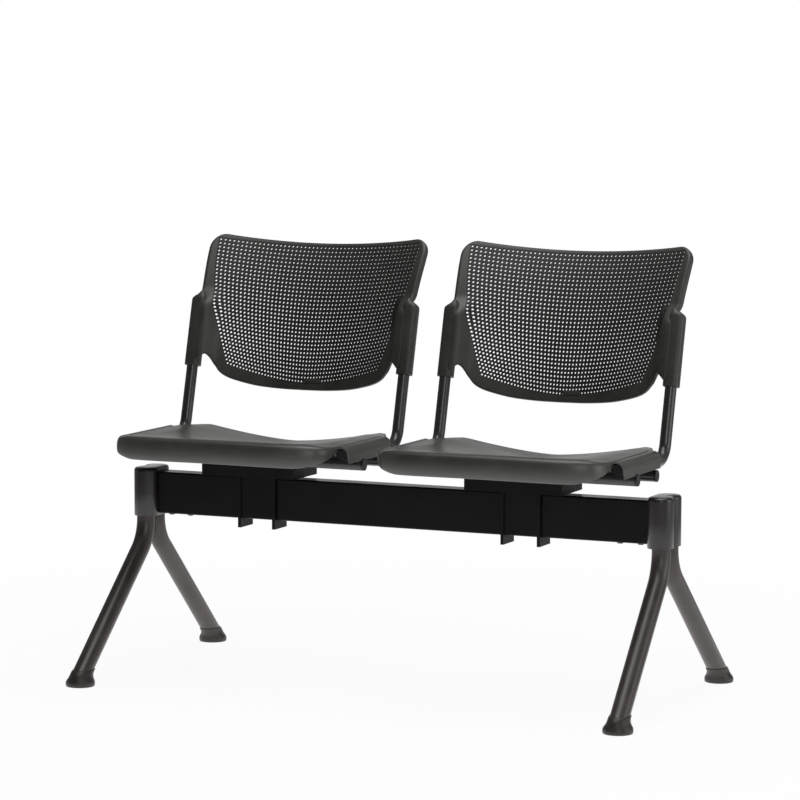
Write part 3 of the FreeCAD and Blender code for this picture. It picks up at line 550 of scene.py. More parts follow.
def back_front(across, height):
    """Front face along Y: a parabola across, curled back by the 2.5th power of the height.

    On the flanks the face comes forward of the uprights' axes, level with the sleeves' fronts.
    """
    reach = across / back_half(height)
    curl = np.clip((height - CURL_BOTTOM) / CURL_HEIGHT, 0.0, None) ** 2.5
    beside = smooth((np.abs(across) - FLANK_INNER) / FLANK_WIDTH)
    flank = beside * smooth((FLANK_TOP - height) / FLANK_FADE)
    bowl = CURL_DEPTH * curl + BOWL_DEPTH * (1 - reach**2) + BOWL_START
    return upright_back(height) + bowl * (1 - flank) + FLANK_FRONT * flank


def back_point(across, height, depth):
    """Point of the back: its front face, moved to the rear along the face's normal by depth.

    The face's slopes are its differences over one millimetre.
    """
    slope_x = back_front(across + 0.5, height) - back_front(across - 0.5, height)
    slope_z = back_front(across, height + 0.5) - back_front(across, height - 0.5)
    size = np.sqrt(1 + slope_x**2 + slope_z**2)
    return np.stack(
        [
            across - depth * slope_x / size,
            back_front(across, height) + depth / size,
            height - depth * slope_z / size,
        ],
        -1,
    )


def hole_field(column, row):
    """Across and height of a place in the field of holes, column and row from 0 to 1.

    The field widens upwards by a parabola of the height, and its rows rise from the middle to
    the sides by 31 mm at the bottom and 14 mm at the top.
    """
    across = (2 * column - 1) * HOLE_COLUMNS / (HOLE_COLUMNS - 1)
    up = (row * HOLE_ROWS - 0.5) / (HOLE_ROWS - 1)
    above = 28.0 + 240.0 * up
    half = 148.0 + 0.42 * above - 0.00065 * above**2
    rise = (31.0 - 17.0 * up) * np.abs(across) ** (1.7 + 0.3 * up)
    return across * half, 542.0 + 255.0 * up + rise


def resampled(points, count):
    """Points at even steps along a broken line, both ends included."""
    steps = np.linalg.norm(np.diff(points, axis=0), axis=1)
    walked = np.concatenate([[0], np.cumsum(steps)])
    wanted = np.linspace(0, walked[-1], count)
    return np.stack([np.interp(wanted, walked, points[:, i]) for i in range(2)], 1)


CURVE_STEPS = 12


def curved(points):
    """Cubic curve through points, its slope at each the central difference of its neighbours."""
    points = np.array(points)
    slope = np.gradient(points, axis=0)
    t = np.linspace(0, 1, CURVE_STEPS, endpoint=False)[None, :, None]
    start, end = points[:-1, None], points[1:, None]
    leave, arrive = slope[:-1, None], slope[1:, None]
    curve = (
        (2 * t**3 - 3 * t**2 + 1) * start
        + (t**3 - 2 * t**2 + t) * leave
        + (3 * t**2 - 2 * t**3) * end
        + (t**3 - t**2) * arrive
    )
    return np.concatenate([curve.reshape(-1, 2), points[-1:]])


def top_height(across):
    """Height of the top edge: a parabola that rises to the corners."""
    return BACK_TOP + BACK_RISE * (across / BACK_WIDEST) ** 2


def back_outline():
    """Closed outline (across, height) with as many points as the hole field's border.

    It starts at the lower left corner and runs right along the bottom, up the right side, left
    along the top and down the left side; each stretch has twice its side's count of holes.
    """
    edge_low = curved(LOWER_EDGE)
    # the bottom ends where the lower edge turns up to the notch, at its seventh listed point
    turn_up = 6 * CURVE_STEPS
    half_bottom = edge_low[: turn_up + 1]
    notch = np.concatenate([edge_low[turn_up:], SHOULDER_EDGE])
    heights = np.linspace(notch[-1, 1], BACK_TOP + BACK_RISE - BACK_CORNER, 40)
    edge = np.stack([back_half(heights), heights], 1)
    angles = np.radians(np.linspace(0, 90, 25))
    corner_x = BACK_WIDEST - BACK_CORNER * (1 - np.cos(angles))
    corner_z = top_height(corner_x) - BACK_CORNER * (1 - np.sin(angles))
    corner = np.stack([corner_x, corner_z], 1)
    tops = np.linspace(corner_x[-1], 0, 60)[1:]
    top = np.stack([tops, top_height(tops)], 1)
    # the side ends and the top begins half way round the corner
    side = resampled(np.concatenate([notch, edge[1:], corner[1:13]]), 2 * HOLE_ROWS + 1)
    half_top = np.concatenate([corner[12:], top])
    whole_bottom = np.concatenate([half_bottom[:0:-1] * MIRROR, half_bottom])
    bottom = resampled(whole_bottom, 2 * HOLE_COLUMNS + 1)
    whole_top = np.concatenate([half_top[:-1], half_top[::-1] * MIRROR])
    over = resampled(whole_top, 2 * HOLE_COLUMNS + 1)
    return np.concatenate([bottom[:-1], side[:-1], over[:-1], (side * MIRROR)[:0:-1]])


def around(values, passes=2):
    """Each value of a closed loop averaged with its two neighbours, a few times over."""
    for _ in range(passes):
        values = (np.roll(values, 1, 0) + 2 * values + np.roll(values, -1, 0)) / 4
    return values


def field_border():
    """Border of the hole field as a loop that starts and runs as the outline does."""
    columns = np.linspace(0, 1, 2 * HOLE_COLUMNS + 1)
    rows = np.linspace(0, 1, 2 * HOLE_ROWS + 1)
    column = np.concatenate(
        [columns[:-1], np.ones(len(rows) - 1), columns[:0:-1], np.zeros(len(rows) - 1)]
    )
    row = np.concatenate(
        [np.zeros(len(columns) - 1), rows[:-1], np.ones(len(columns) - 1), rows[:0:-1]]
    )
    return np.stack(hole_field(column, row), 1)


def holes_patch(middle):
    """The perforated field: each hole is a cell of eight outer points joined to an octagon.

    The front face runs from the cell's border to a bevel round the hole, the bore tapers to
    the rear, and the rear face runs back out to the border.
    """
    # the border of a cell in half steps from its middle, counter-clockwise from the right
    step_x = np.array([1, 1, 0, -1, -1, -1, 0, 1])
    step_z = np.array([0, 1, 1, 1, 0, -1, -1, -1])
    centre_c = (np.arange(HOLE_COLUMNS)[None, :, None] + 0.5) / HOLE_COLUMNS
    centre_r = (np.arange(HOLE_ROWS)[:, None, None] + 0.5) / HOLE_ROWS
    border_x, border_z = hole_field(
        centre_c + step_x * 0.5 / HOLE_COLUMNS, centre_r + step_z * 0.5 / HOLE_ROWS
    )
    hole_x, hole_z = hole_field(centre_c, centre_r)
    angle = np.arange(8) * math.pi / 4
    pitch = np.abs(border_x[..., 4:5] - border_x[..., 0:1])
    narrow = np.clip(pitch / HOLE_PITCH, HOLE_LEAST, 1.0)
    rings = [(border_x, border_z, 0.0)]
    for radius, depth in (
        (HOLE_RADIUS + HOLE_BEVEL, 0.0),
        (HOLE_RADIUS, HOLE_BEVEL),
        (HOLE_RADIUS - HOLE_TAPER, BACK_THICK),
    ):
        ring_x = hole_x + radius * narrow * np.cos(angle)
        ring_z = hole_z + radius * narrow * np.sin(angle)
        rings.append((ring_x, ring_z, depth))
    rings.append((border_x, border_z, BACK_THICK))
    points = np.stack([back_point(x, z, depth) for x, z, depth in rings])
    points[..., 0] += middle
    index = np.arange(points.size // 3).reshape(len(rings), -1, 8)
    following = np.roll(index, -1, axis=2)
    faces = np.stack([index[:-1], following[:-1], following[1:], index[1:]], -1)
    return points, faces.reshape(-1, 4)


def rim_patch(middle):
    """Margin and rolled rim: rings from the field's border out to the edge and back behind.

    Each ring is the outline drawn inwards along its own normal by an inset and sunk by a
    depth. Over the roll, inset and depth are the roll radius times 1 - sine and 1 - cosine.
    The roll's radius and the depth of the flange behind it are smaller beside the notches,
    grow above the sleeves and ease again along the top edge, each over a smooth step.
    """
    outline = back_outline()
    border = field_border()
    along = np.roll(outline, -1, 0) - np.roll(outline, 1, 0)
    along = around(along / np.linalg.norm(along, axis=1, keepdims=True), 1)
    along /= np.linalg.norm(along, axis=1, keepdims=True)
    outward = np.stack([along[:, 1], -along[:, 0]], 1)
    across, height = outline.T
    high = smooth((height - 700.0) / 14.0)
    over = smooth((height - top_height(across) + 14.0) / 8.0)
    beside = smooth((np.abs(across) - 192.0) / 12.0)
    roll = ROLL_RADIUS * (1 - beside) + ROLL_BESIDE * beside
    roll = around(roll + high * (ROLL_ABOVE - TOP_EASE * over), 6)
    flange = FLANGE_DEPTH * (1 - beside) + FLANGE_BESIDE * beside
    flange = around(flange + high * (FLANGE_ABOVE - TOP_EASE * over), 6)
    deep = np.maximum(flange, roll + 1.0)

    def drawn_in(inset, depth):
        """Ring of the outline drawn in by an inset, at a depth behind the face."""
        place = outline - outward * np.broadcast_to(inset, len(outline))[:, None]
        return back_point(*place.T, np.broadcast_to(depth, len(outline)))

    def between(outer, share, depth):
        """Ring at a share of the way from the field's border to an outer loop."""
        return back_point(*(border + (outer - border) * share).T, depth)

    inner = outline - outward * roll[:, None]
    rings = [between(inner, share, 0.0) for share in (0.0, 0.25, 0.5, 0.75, 0.93)]
    for turn in np.radians(np.linspace(0, 90, 7)):
        rings.append(drawn_in(roll * (1 - math.sin(turn)), roll * (1 - math.cos(turn))))
    for inset, depth in (
        (0.0, deep - RIM_ROUND),
        (RIM_ROUND, deep),
        (RIM_WALL - RIM_ROUND, deep),
        (RIM_WALL, deep - RIM_ROUND),
        (RIM_WALL, BACK_THICK + RIM_FILLET),
        (RIM_WALL + RIM_ROUND, BACK_THICK + RIM_ROUND),
        (RIM_WALL + RIM_FILLET, BACK_THICK),
    ):
        rings.append(drawn_in(inset, depth))
    behind = outline - outward * (RIM_WALL + RIM_FILLET)
    rings += [between(behind, share, BACK_THICK) for share in (0.66, 0.33, 0.0)]
    points = np.stack(rings)
    points[..., 0] += middle
    return ringed(points)


def superellipse(power):
    """48 points round a superellipse of half size 1: powers of a cosine and a sine, signs kept."""
    angles = np.linspace(0, 2 * math.pi, 48, endpoint=False)
    across, up = np.cos(angles), np.sin(angles)
    return np.sign(across) * np.abs(across) ** power, np.sign(up) * np.abs(up) ** power


def sleeve_patch(middle, side):
    """Sleeve round an upright: a bored tube with a rounded foot and a slanting shoulder.

    Each listed ring has a height along the leaning axis, its reach from the axis outwards,
    inwards, to the front and to the rear, and the power of its superellipse: 2 for the round
    bore and 3.4 for the squarish outside.
    """
    listed = np.array(
        [
            (60.0, 11.2, 11.2, 11.2, 11.2, 2.0),
            (0.6, 11.2, 11.2, 11.2, 11.2, 2.0),
            (0.0, 11.8, 11.8, 11.6, 11.8, 2.0),
            (0.0, 14.2, 14.2, 11.4, 13.2, 3.4),
            (0.8, 15.0, 15.0, 12.0, 14.0, 3.4),
            (30.0, 15.0, 15.0, 12.0, 14.0, 3.4),
            (126.0, 15.0, 15.0, 12.0, 14.0, 3.4),
            (130.0, 14.9, 15.0, 12.0, 14.0, 3.4),
            (133.0, 14.2, 15.0, 12.0, 13.6, 3.2),
            (135.0, 13.0, 14.8, 11.8, 13.0, 3.0),
            (137.0, 10.9, 14.4, 11.4, 12.2, 2.8),
            (139.0, 8.0, 13.8, 10.8, 11.2, 2.6),
            (141.5, 4.4, 12.8, 9.8, 10.0, 2.4),
            (144.5, 1.2, 11.0, 8.6, 8.8, 2.2),
            (148.0, -1.0, 9.0, 7.2, 7.6, 2.0),
        ]
    )
    height, out, inward, front, rear, power = listed.T[:, :, None]
    up = np.array([0.0, math.sin(RECLINE), math.cos(RECLINE)])
    start = np.array([middle + side * FRAME_HALF, upright_back(SLEEVE_BOTTOM), SLEEVE_BOTTOM])
    deep = np.array([0.0, up[2], -up[1]])
    wide, long = superellipse(2 / power)
    x = (out - inward) / 2 + (out + inward) / 2 * wide
    y = (rear - front) / 2 + (rear + front) / 2 * long
    points = (
        start
        + height[..., None] * up
        + (side * x)[..., None] * np.array([1.0, 0.0, 0.0])
        + y[..., None] * deep
    )
    return capped(points)


LABEL_ACROSS = 18.0
LABEL_HEIGHT = 543.5
LABEL_HALF_WIDTH = 18.0
LABEL_HALF_HEIGHT = 4.0


def label_patch(middle):
    """Bare label plate over the lowest holes: superellipses on the face, 0.8 mm proud of it.

    Each ring has an inset from the plate's outline and a depth behind the face.
    """
    wide, high = superellipse(0.35)
    rings = []
    for inset, depth in (
        (1.0, 0.6),
        (0.0, 0.6),
        (0.0, -0.5),
        (0.15, -0.7),
        (0.5, -0.8),
        (2.0, -0.8),
    ):
        x = LABEL_ACROSS + (LABEL_HALF_WIDTH - inset) * wide
        z = LABEL_HEIGHT + (LABEL_HALF_HEIGHT - inset) * high
        rings.append(back_point(x, z, depth))
    points = np.stack(rings)
    points[..., 0] += middle
    return capped(points)


for side_name, middle in SEATS.items():
    back = piece(
        f"perforated_back_{side_name}",
        [
            holes_patch(middle),
            rim_patch(middle),
            sleeve_patch(middle, -1),
            sleeve_patch(middle, 1),
            label_patch(middle),
        ],
        "seat_plastic",
        f"back_shell_{side_name}",
    )
    # the back takes a copy of the seats' polypropylene painted a little darker, painted shade
    back.data.materials[0] = back_polypropylene_painted_shade
    # the perforated field takes the darker land finish, painted shade round the holes
    back.data.materials.append(land_painted_shade)
    # the first faces are those of the perforated field: four rings of eight to a hole
    number = np.arange(len(back.data.polygons))
    perforated = number < HOLE_ROWS * HOLE_COLUMNS * 4 * 8
    back.data.polygons.foreach_set("material_index", perforated.astype(np.int32))


# Moulded seat pans: a dished top, a deep rolled front lip, and a channel over each run

PAN_HALF = 221.0
PAN_DRAW = 14.0
DRAW_START = 54.0
DRAW_LENGTH = 55.0
PAN_REAR = 145.0
PAN_FRONT = -222.0
PAN_CORNER = -130.0
PAN_ROUND = 36.0
PAN_THICK = 3.4
PAN_MIDDLE = (0.0, -30.0)
DISH_HALF = 182.0
DISH_LOW = 431.0
DISH_RISE = 36.0
DISH_START = 90.0
DISH_LENGTH = 282.0
SIDE_HEIGHT = 458.5
SIDE_DIP = 4.0
DIP_START = 60.0
DIP_LENGTH = 85.0
CREST_RISE = 8.0
CREST_START = -115.0
CREST_LENGTH = 70.0
# The corners lose a share of the crest's rise, from a start across and over a width
CORNER_LOSS = 0.7
CORNER_START = 172.0
CORNER_WIDTH = 45.0
# The edge rolls by a depth, a drop and a turn in degrees; the lip adds to each of them along
# its length, and the rear takes from the first two
EDGE_DEPTH = 7.0
EDGE_DROP = 7.0
EDGE_TURN = 72.0
LIP_LENGTH = 100.0
LIP_DEPTH = 10.0
LIP_DROP = 36.0
LIP_TURN = 80.0
REAR_START = 60.0
REAR_LENGTH = 50.0
REAR_DEPTH = 3.0
REAR_DROP = 3.5
CHANNEL_RADIUS = 14.0
CHANNEL_WALL = 2.6
CHANNEL_MIDDLE = 444.5
CHANNEL_BOTTOM = 427.0
MOUTH_INNER = 440.0
MOUTH_LEAN = 7.0
MOUTH_FADE = 40.0
MOUTH_EDGE = 1.6
CROSS_TUBES = {"front": (-62.0, 418.5), "rear": (38.0, 415.0)}


def pan_height(across, back):
    """Top of the pan: from a hollow middle, the sides rise by the 1.5th power of the share across.

    The middle line rises to the front by the 1.5th power of the distance, up to 1.02 of the
    dish's length. The sides dip at the rear and rise to the crest at the front, less so near
    the corners.
    """
    ahead = np.clip(DISH_START - back, 0.0, None) / DISH_LENGTH
    middle = DISH_LOW + DISH_RISE * np.minimum(ahead, 1.02) ** 1.5
    near_corner = smooth((np.abs(across) - CORNER_START) / CORNER_WIDTH)
    crest = CREST_RISE * smooth((CREST_START - back) / CREST_LENGTH)
    dip = SIDE_DIP * smooth((back - DIP_START) / DIP_LENGTH)
    side = SIDE_HEIGHT - dip + crest * (1 - CORNER_LOSS * near_corner)
    share = np.minimum(1.0, np.abs(across) / DISH_HALF) ** 1.5
    return middle + (side - middle) * share


def pan_outline(count):
    """Half of the pan's outline in plan, from the rear middle round the right to the front middle.

    The front is a quarter of the curve |x/221|^4 + |y/92|^4 = 1, the side is straight, draws in
    by 14 mm and turns into the rear edge through an arc of 36 mm radius.
    """
    angle = np.radians(np.linspace(0, 90, 20))
    round_across = PAN_HALF - PAN_DRAW - PAN_ROUND
    round_back = PAN_REAR - PAN_ROUND
    rear = np.stack([np.linspace(0, round_across, 20), np.full(20, PAN_REAR)], 1)
    corner_x = round_across + PAN_ROUND * np.sin(angle)
    corner = np.stack([corner_x, round_back + PAN_ROUND * np.cos(angle)], 1)
    back = np.linspace(round_back, PAN_CORNER, 60)
    draw = PAN_DRAW * smooth((back - DRAW_START) / DRAW_LENGTH)
    side = np.stack([PAN_HALF - draw, back], 1)
    turn = np.radians(np.linspace(0, 90, 90))
    front_y = PAN_CORNER + (PAN_FRONT - PAN_CORNER) * np.sin(turn) ** 0.5
    front = np.stack([PAN_HALF * np.cos(turn) ** 0.5, front_y], 1)
    return resampled(np.concatenate([rear, corner[1:], side[1:], front[1:]]), count)


def pan_patch(middle):
    """The pan as rings round its middle: dish, rolled edge, edge bead, and the same beneath.

    Rings inside the crest shrink evenly to a point. Over the roll the ring moves out by depth
    times the square root of the sine of its angle, and down by drop times 1 - cosine as a
    share of its last value. Drop, depth and the roll's last angle fade along the outline from
    the deep lip at the front to a shallow edge beside the channels.
    """
    half = pan_outline(130)
    outline = np.concatenate([half, half[-2:0:-1] * MIRROR])
    along = np.roll(outline, -1, 0) - np.roll(outline, 1, 0)
    along /= np.linalg.norm(along, axis=1, keepdims=True)
    outward = np.stack([-along[:, 1], along[:, 0]], 1)
    # distance ahead of the channel's front along the outline, both sides alike
    steps = np.linalg.norm(np.diff(half, axis=0), axis=1)
    walked = np.concatenate([[0], np.cumsum(steps)])
    walked -= np.interp(0, PAN_CORNER - half[:, 1], walked)
    ahead = np.concatenate([walked, walked[-2:0:-1]])
    lip = np.clip(ahead / LIP_LENGTH, 0.0, 1.0)
    rear = smooth((outline[:, 1] - REAR_START) / REAR_LENGTH)
    depth = around(EDGE_DEPTH + LIP_DEPTH * lip - REAR_DEPTH * rear, 4)
    drop = around(EDGE_DROP + LIP_DROP * lip - REAR_DROP * rear, 4)
    last = np.radians(EDGE_TURN + LIP_TURN * around(lip, 4))
    crest = around(outline - outward * depth[:, None], 4)
    centre = np.array(PAN_MIDDLE)
    rings = []
    for share in np.linspace(0.02, 1.0, 34):
        place = centre + (crest - centre) * share
        rings.append(np.column_stack([place, pan_height(*place.T)]))
    top = rings[-1][:, 2]
    for share in np.linspace(0, 1, 29)[1:] ** 1.3:
        turn = last * share
        place = crest + outward * (depth * np.sin(turn) ** 0.5)[:, None]
        fall = drop * (1 - np.cos(turn)) / (1 - np.cos(last))
        rings.append(np.column_stack([place, top - fall]))
    rings = np.stack(rings)
    across = np.roll(rings, -1, 1) - np.roll(rings, 1, 1)
    normal = np.cross(across, np.gradient(rings, axis=0))
    normal /= np.linalg.norm(normal, axis=2, keepdims=True)
    normal *= np.sign(normal[10, :, 2].mean())
    onward = rings[-1] - rings[-2]
    onward /= np.linalg.norm(onward, axis=1, keepdims=True)
    # a half circle closes the edge round the middle of its thickness
    radius = PAN_THICK / 2
    turn = np.radians(np.linspace(0, 180, 9))[:, None, None]
    bead = rings[-1] + radius * ((np.cos(turn) - 1) * normal[-1] + np.sin(turn) * onward)
    under = (rings - PAN_THICK * normal)[:-1][::-1]
    points = np.concatenate([rings[:-1], bead, under])
    points[..., 0] += middle
    return capped(points)


def channel_patch(middle, side):
    """Channel over a run: an arch of sheet carried from front to rear.

    The section goes up the inner leg, over the crown by a half circle and down the outer
    skirt. The skirts rise in arcs over the cross tubes, and the mouth leans back downwards.
    """
    back = np.concatenate([[-134.0, -133.4, -132.4], np.linspace(-130.0, 50.0, 73), [54.0, 60.0]])
    turn = np.radians(np.linspace(-90, 90, 25))
    bottom = np.full(len(back), CHANNEL_BOTTOM)
    for place, height in CROSS_TUBES.values():
        over = np.clip((FRAME_RADIUS + 1.0) ** 2 - (back - place) ** 2, 0.0, None)
        bottom = np.maximum(bottom, height + np.sqrt(over) * (over > 0))
    bottom = bottom[:, None]
    across = CHANNEL_RADIUS * np.concatenate([[-1.0] * 4, np.sin(turn), [1.0] * 4])
    rise = CHANNEL_RADIUS * np.concatenate([[0.0] * 4, np.cos(turn), [0.0] * 4])
    skirt = np.linspace(0, 1, 5)
    down = np.concatenate([1 - skirt[:4], np.zeros(25), skirt[1:]])
    # the inner leg is short at the mouth and comes down behind it
    let_down = (MOUTH_INNER - CHANNEL_BOTTOM) * smooth((back[:, None] + 118.0) / 30.0)
    inner_low = np.maximum(bottom, MOUTH_INNER - let_down)
    low = np.where(across < 0, inner_low, bottom)
    # the sheet thins to a rounded edge at the mouth
    edge = np.minimum((back - back[0]) / MOUTH_EDGE, 1.0)
    thinned = 0.5 * (1 - np.sqrt(np.clip(1 - (1 - edge) ** 2, 0.0, 1.0)))
    sheet = []
    for inset in (thinned, 1 - thinned):
        size = 1 - inset[:, None] * CHANNEL_WALL / CHANNEL_RADIUS
        z = CHANNEL_MIDDLE + rise * size - down * (CHANNEL_MIDDLE - low)
        # the mouth's foot lies behind its crown, and the lean fades out behind the mouth
        lean = MOUTH_LEAN * smooth((CHANNEL_MIDDLE + CHANNEL_RADIUS - z) / 30.0)
        fade = np.clip(1 - (back - back[0]) / MOUTH_FADE, 0.0, 1.0)[:, None]
        sheet.append(np.stack([side * across * size, back[:, None] + lean * fade, z], -1))
    outer, inner = sheet
    section = np.concatenate([outer, inner[:, ::-1]], 1)
    section += np.array([middle + side * FRAME_HALF, 0.0, 0.0])
    loops, faces = ringed(section)
    # each end is closed by faces between the outer and the inner sheet
    count = section.shape[1]
    span = outer.shape[1]
    near = np.stack([np.arange(span), count - 1 - np.arange(span)], 1)
    closing = [quads(near), quads(near + (len(section) - 1) * count)]
    return loops, np.concatenate([faces] + closing)


BOSS_ACROSS = 120.0
BOSS_RADIUS = 8.0
BOSS_EDGE = 0.5


def boss_patch(across, back, low, high):
    """Round boss with chamfered ends, from one height to another."""
    heights = np.array([low, low + BOSS_EDGE, high - BOSS_EDGE, high])
    radii = BOSS_RADIUS - np.array([BOSS_EDGE, 0.0, 0.0, BOSS_EDGE])
    path = np.array([across, back, 0.0]) + heights[:, None] * np.array([0.0, 0.0, 1.0])
    return capped(swept(path, radii, 20))


for side_name, middle in SEATS.items():
    bosses = []
    for place, height in CROSS_TUBES.values():
        # each boss ends inside the pan's thickness
        top = float(pan_height(np.array(BOSS_ACROSS), np.array(place))) - 2.0
        for side in (-1, 1):
            boss_x = middle + side * BOSS_ACROSS
            bosses.append(boss_patch(boss_x, place, height + FRAME_RADIUS, top))
    piece(
        f"moulded_seat_{side_name}",
        [pan_patch(middle), channel_patch(middle, -1), channel_patch(middle, 1)] + bosses,
        "seat_plastic",
        f"seat_shell_{side_name}",
    )


# Side tubes of the seats

UPRIGHT_TOP = 687.6
RUN_FRONT = -122.0

for side_name, middle in SEATS.items():
    for side_word, side in SIDES.items():
        x = middle + side * FRAME_HALF
        path = bent_path(
            (x, upright_back(UPRIGHT_TOP), UPRIGHT_TOP),
            (x, VERTEX_BACK, VERTEX_HEIGHT),
            (x, RUN_FRONT, run_height(RUN_FRONT)),
            FRAME_BEND,
        )
        piece(
            f"bent_tube_{side_word}_of_{side_name}_seat",
            [hollow_tube(path, FRAME_RADIUS, FRAME_WALL)],
            "frame_tube_steel",
            f"side_tube_{side_word}_of_{side_name}_seat",
        )


# Legs, boots and the covers over the legs' heads

LEG_HEADS = {"left": -530.0, "right": 523.0}
LEG_ROWS = {"front": -1, "rear": 1}
LEG_RADIUS = 17.5
LEG_WALL = 2.0
LEG_BEND = 80.0
LEG_TOP = 376.0
LEG_VERTEX = 251.0
LEG_LEAN = math.tan(math.radians(47.1))
LEG_END = 14.0
FOOT_X = 536.0
FOOT_REACH = 251.9
HEAD_OFFSET = 20.0


def leg_heading(end, row):
    """A leg's head and foot in plan, and the direction from one to the other."""
    head = np.array([LEG_HEADS[end], row * HEAD_OFFSET])
    foot_x = SIDES[end] * FOOT_X
    depth = math.sqrt(FOOT_REACH**2 - (foot_x - head[0]) ** 2)
    foot = np.array([foot_x, head[1] + row * depth])
    return head, foot, (foot - head) / FOOT_REACH


def boot_patch(foot, heading):
    """Moulded boot: level ellipses whose middles lean with the leg.

    Each listed ring has a height, how far its middle lies up the lean from the foot's middle,
    a half width and a half length along the lean.
    """
    listed = np.array(
        [
            (0.0, 0.0, 25.0, 25.0),
            (0.0, 0.0, 26.3, 26.3),
            (1.2, 0.0, 27.2, 27.2),
            (5.0, 0.1, 27.5, 27.5),
            (8.5, 0.4, 27.1, 27.3),
            (11.5, 1.0, 25.4, 26.6),
            (15.0, 2.2, 22.8, 26.2),
            (19.0, 4.0, 20.8, 26.6),
            (23.0, 6.6, 19.9, 27.2),
            (28.0, 11.9, 19.4, 27.5),
            (29.0, 13.0, 19.0, 27.0),
            (29.4, 13.4, 18.4, 26.2),
            (29.4, 13.4, 17.4, 25.0),
        ]
    )
    angles = np.linspace(0, 2 * math.pi, 48, endpoint=False)
    along = -heading
    across = np.array([along[1], -along[0]])
    height, shift, width, length = listed.T
    plan = (
        foot
        + shift[:, None, None] * along
        + (length[:, None] * np.cos(angles))[..., None] * along
        + (width[:, None] * np.sin(angles))[..., None] * across
    )
    level = np.broadcast_to(height[:, None, None], plan.shape[:2] + (1,))
    return capped(np.concatenate([plan, level], 2))


for end in LEG_HEADS:
    for row_name, row in LEG_ROWS.items():
        head, foot, heading = leg_heading(end, row)
        reach = (LEG_VERTEX - LEG_END) * LEG_LEAN
        path = bent_path(
            (head[0], head[1], LEG_TOP),
            (head[0], head[1], LEG_VERTEX),
            (head[0] + heading[0] * reach, head[1] + heading[1] * reach, LEG_END),
            LEG_BEND,
        )
        piece(
            f"bent_leg_{row_name}_{end}",
            [hollow_tube(path, LEG_RADIUS, LEG_WALL, 40)],
            "leg_steel",
            f"leg_{row_name}_{end}",
        )
        piece(
            f"boot_{row_name}_{end}",
            [boot_patch(foot, heading)],
            "foot_plastic",
            f"foot_{row_name}_{end}",
        )


COVER_RADIUS = 24.0
COVER_SHIFT = 2.0
COVER_BOTTOM = 292.0
COVER_TOP = 386.0
COVER_DEEPEST = 3.9


def cover_loop(end, inset):
    """Outline of a cover in plan, inset from its walls: two lobes with a crease between.

    It runs along the flat wall beside the beam, round the rear lobe to the crease, and back
    round the front lobe; the crease is where the two circles meet.
    """
    side = SIDES[end]
    middle = LEG_HEADS[end] - side * COVER_SHIFT
    radius = COVER_RADIUS - inset
    crease = math.asin(HEAD_OFFSET / radius)
    flat = np.linspace(-HEAD_OFFSET, HEAD_OFFSET, 13)[1:-1]
    turn = np.linspace(math.pi, -crease, 40)
    rear = np.stack([radius * np.cos(turn), HEAD_OFFSET + radius * np.sin(turn)], 1)
    front = rear[::-1][1:] * np.array([1.0, -1.0])
    wall = np.stack([np.full(len(flat), -radius), flat], 1)
    loop = np.concatenate([wall, rear, front])
    loop[:, 0] = middle + side * loop[:, 0]
    return loop


def cover_patch(end):
    """Cap over two leg heads: domed top, rounded shoulder, straight wall and a hollow inside.

    Each listed ring has an inset of its outline, a height and a share by which it is drawn in
    to its middle.
    """
    listed = [
        (COVER_DEEPEST, COVER_TOP, 0.45),
        (COVER_DEEPEST, COVER_TOP - 0.5, 0.8),
        (COVER_DEEPEST, COVER_TOP - 1.2, 1.0),
        (2.8, COVER_TOP - 1.7, 1.0),
        (1.6, COVER_TOP - 2.6, 1.0),
        (0.7, COVER_TOP - 3.8, 1.0),
        (0.15, COVER_TOP - 5.6, 1.0),
        (0.0, COVER_TOP - 8.0, 1.0),
        (0.0, COVER_TOP - 50.0, 1.0),
        (0.0, COVER_BOTTOM + 0.6, 1.0),
        (0.5, COVER_BOTTOM, 1.0),
        (2.0, COVER_BOTTOM, 1.0),
        (2.5, COVER_BOTTOM + 0.6, 1.0),
        (2.5, COVER_TOP - 12.0, 1.0),
        (3.2, COVER_TOP - 9.6, 1.0),
        (COVER_DEEPEST, COVER_TOP - 9.0, 0.8),
    ]
    rings = []
    for inset, height, scale in listed:
        loop = cover_loop(end, inset)
        centre = np.array([loop[:, 0].mean(), 0.0])
        loop = centre + (loop - centre) * scale
        rings.append(np.column_stack([loop, np.full(len(loop), height)]))
    return capped(np.stack(rings))


for end in LEG_HEADS:
    piece(
        f"moulded_cover_{end}",
        [cover_patch(end)],
        "leg_cover_plastic",
        f"leg_cover_{end}",
        sharp=40.0,
    )


# Lights and floor


def area_light(name, place, target, size, power):
    """Rectangular softbox at a place, facing a target, unseen by the camera."""
    data = bpy.data.lights.new(name, "AREA")
    data.shape = "RECTANGLE"
    data.size, data.size_y = size
    data.energy = power
    obj = new_object(name, data)
    obj.visible_camera = False
    direction = np.array(place, float) - np.array(target, float)
    direction /= np.linalg.norm(direction)
    right = np.cross((0.0, 0.0, 1.0), direction)
    right /= np.linalg.norm(right)
    obj.matrix_world = placement(right, np.cross(direction, right), direction, place)


area_light("softbox_top", (0.3, -0.1, 3.4), (0, 0, 0), (3.4, 1.7), 78)
area_light("softbox_front", (2.6, -3.8, 2.0), (0, 0, 0.5), (1.6, 1.6), 38)
area_light("softbox_right", (3.0, 0.4, 1.0), (0, 0, 0.5), (2.0, 1.6), 20)
area_light("softbox_rear", (-1.5, 5.0, 1.0), (0, 0, 0.4), (6.0, 2.0), 38)


def flat_sheet(name, corners, material):
    """One flat face of the studio between four corners."""
    mesh = bpy.data.meshes.new(name)
    mesh.from_pydata(corners, [], [(0, 1, 2, 3)])
    mesh.materials.append(material)
    return new_object(name, mesh)


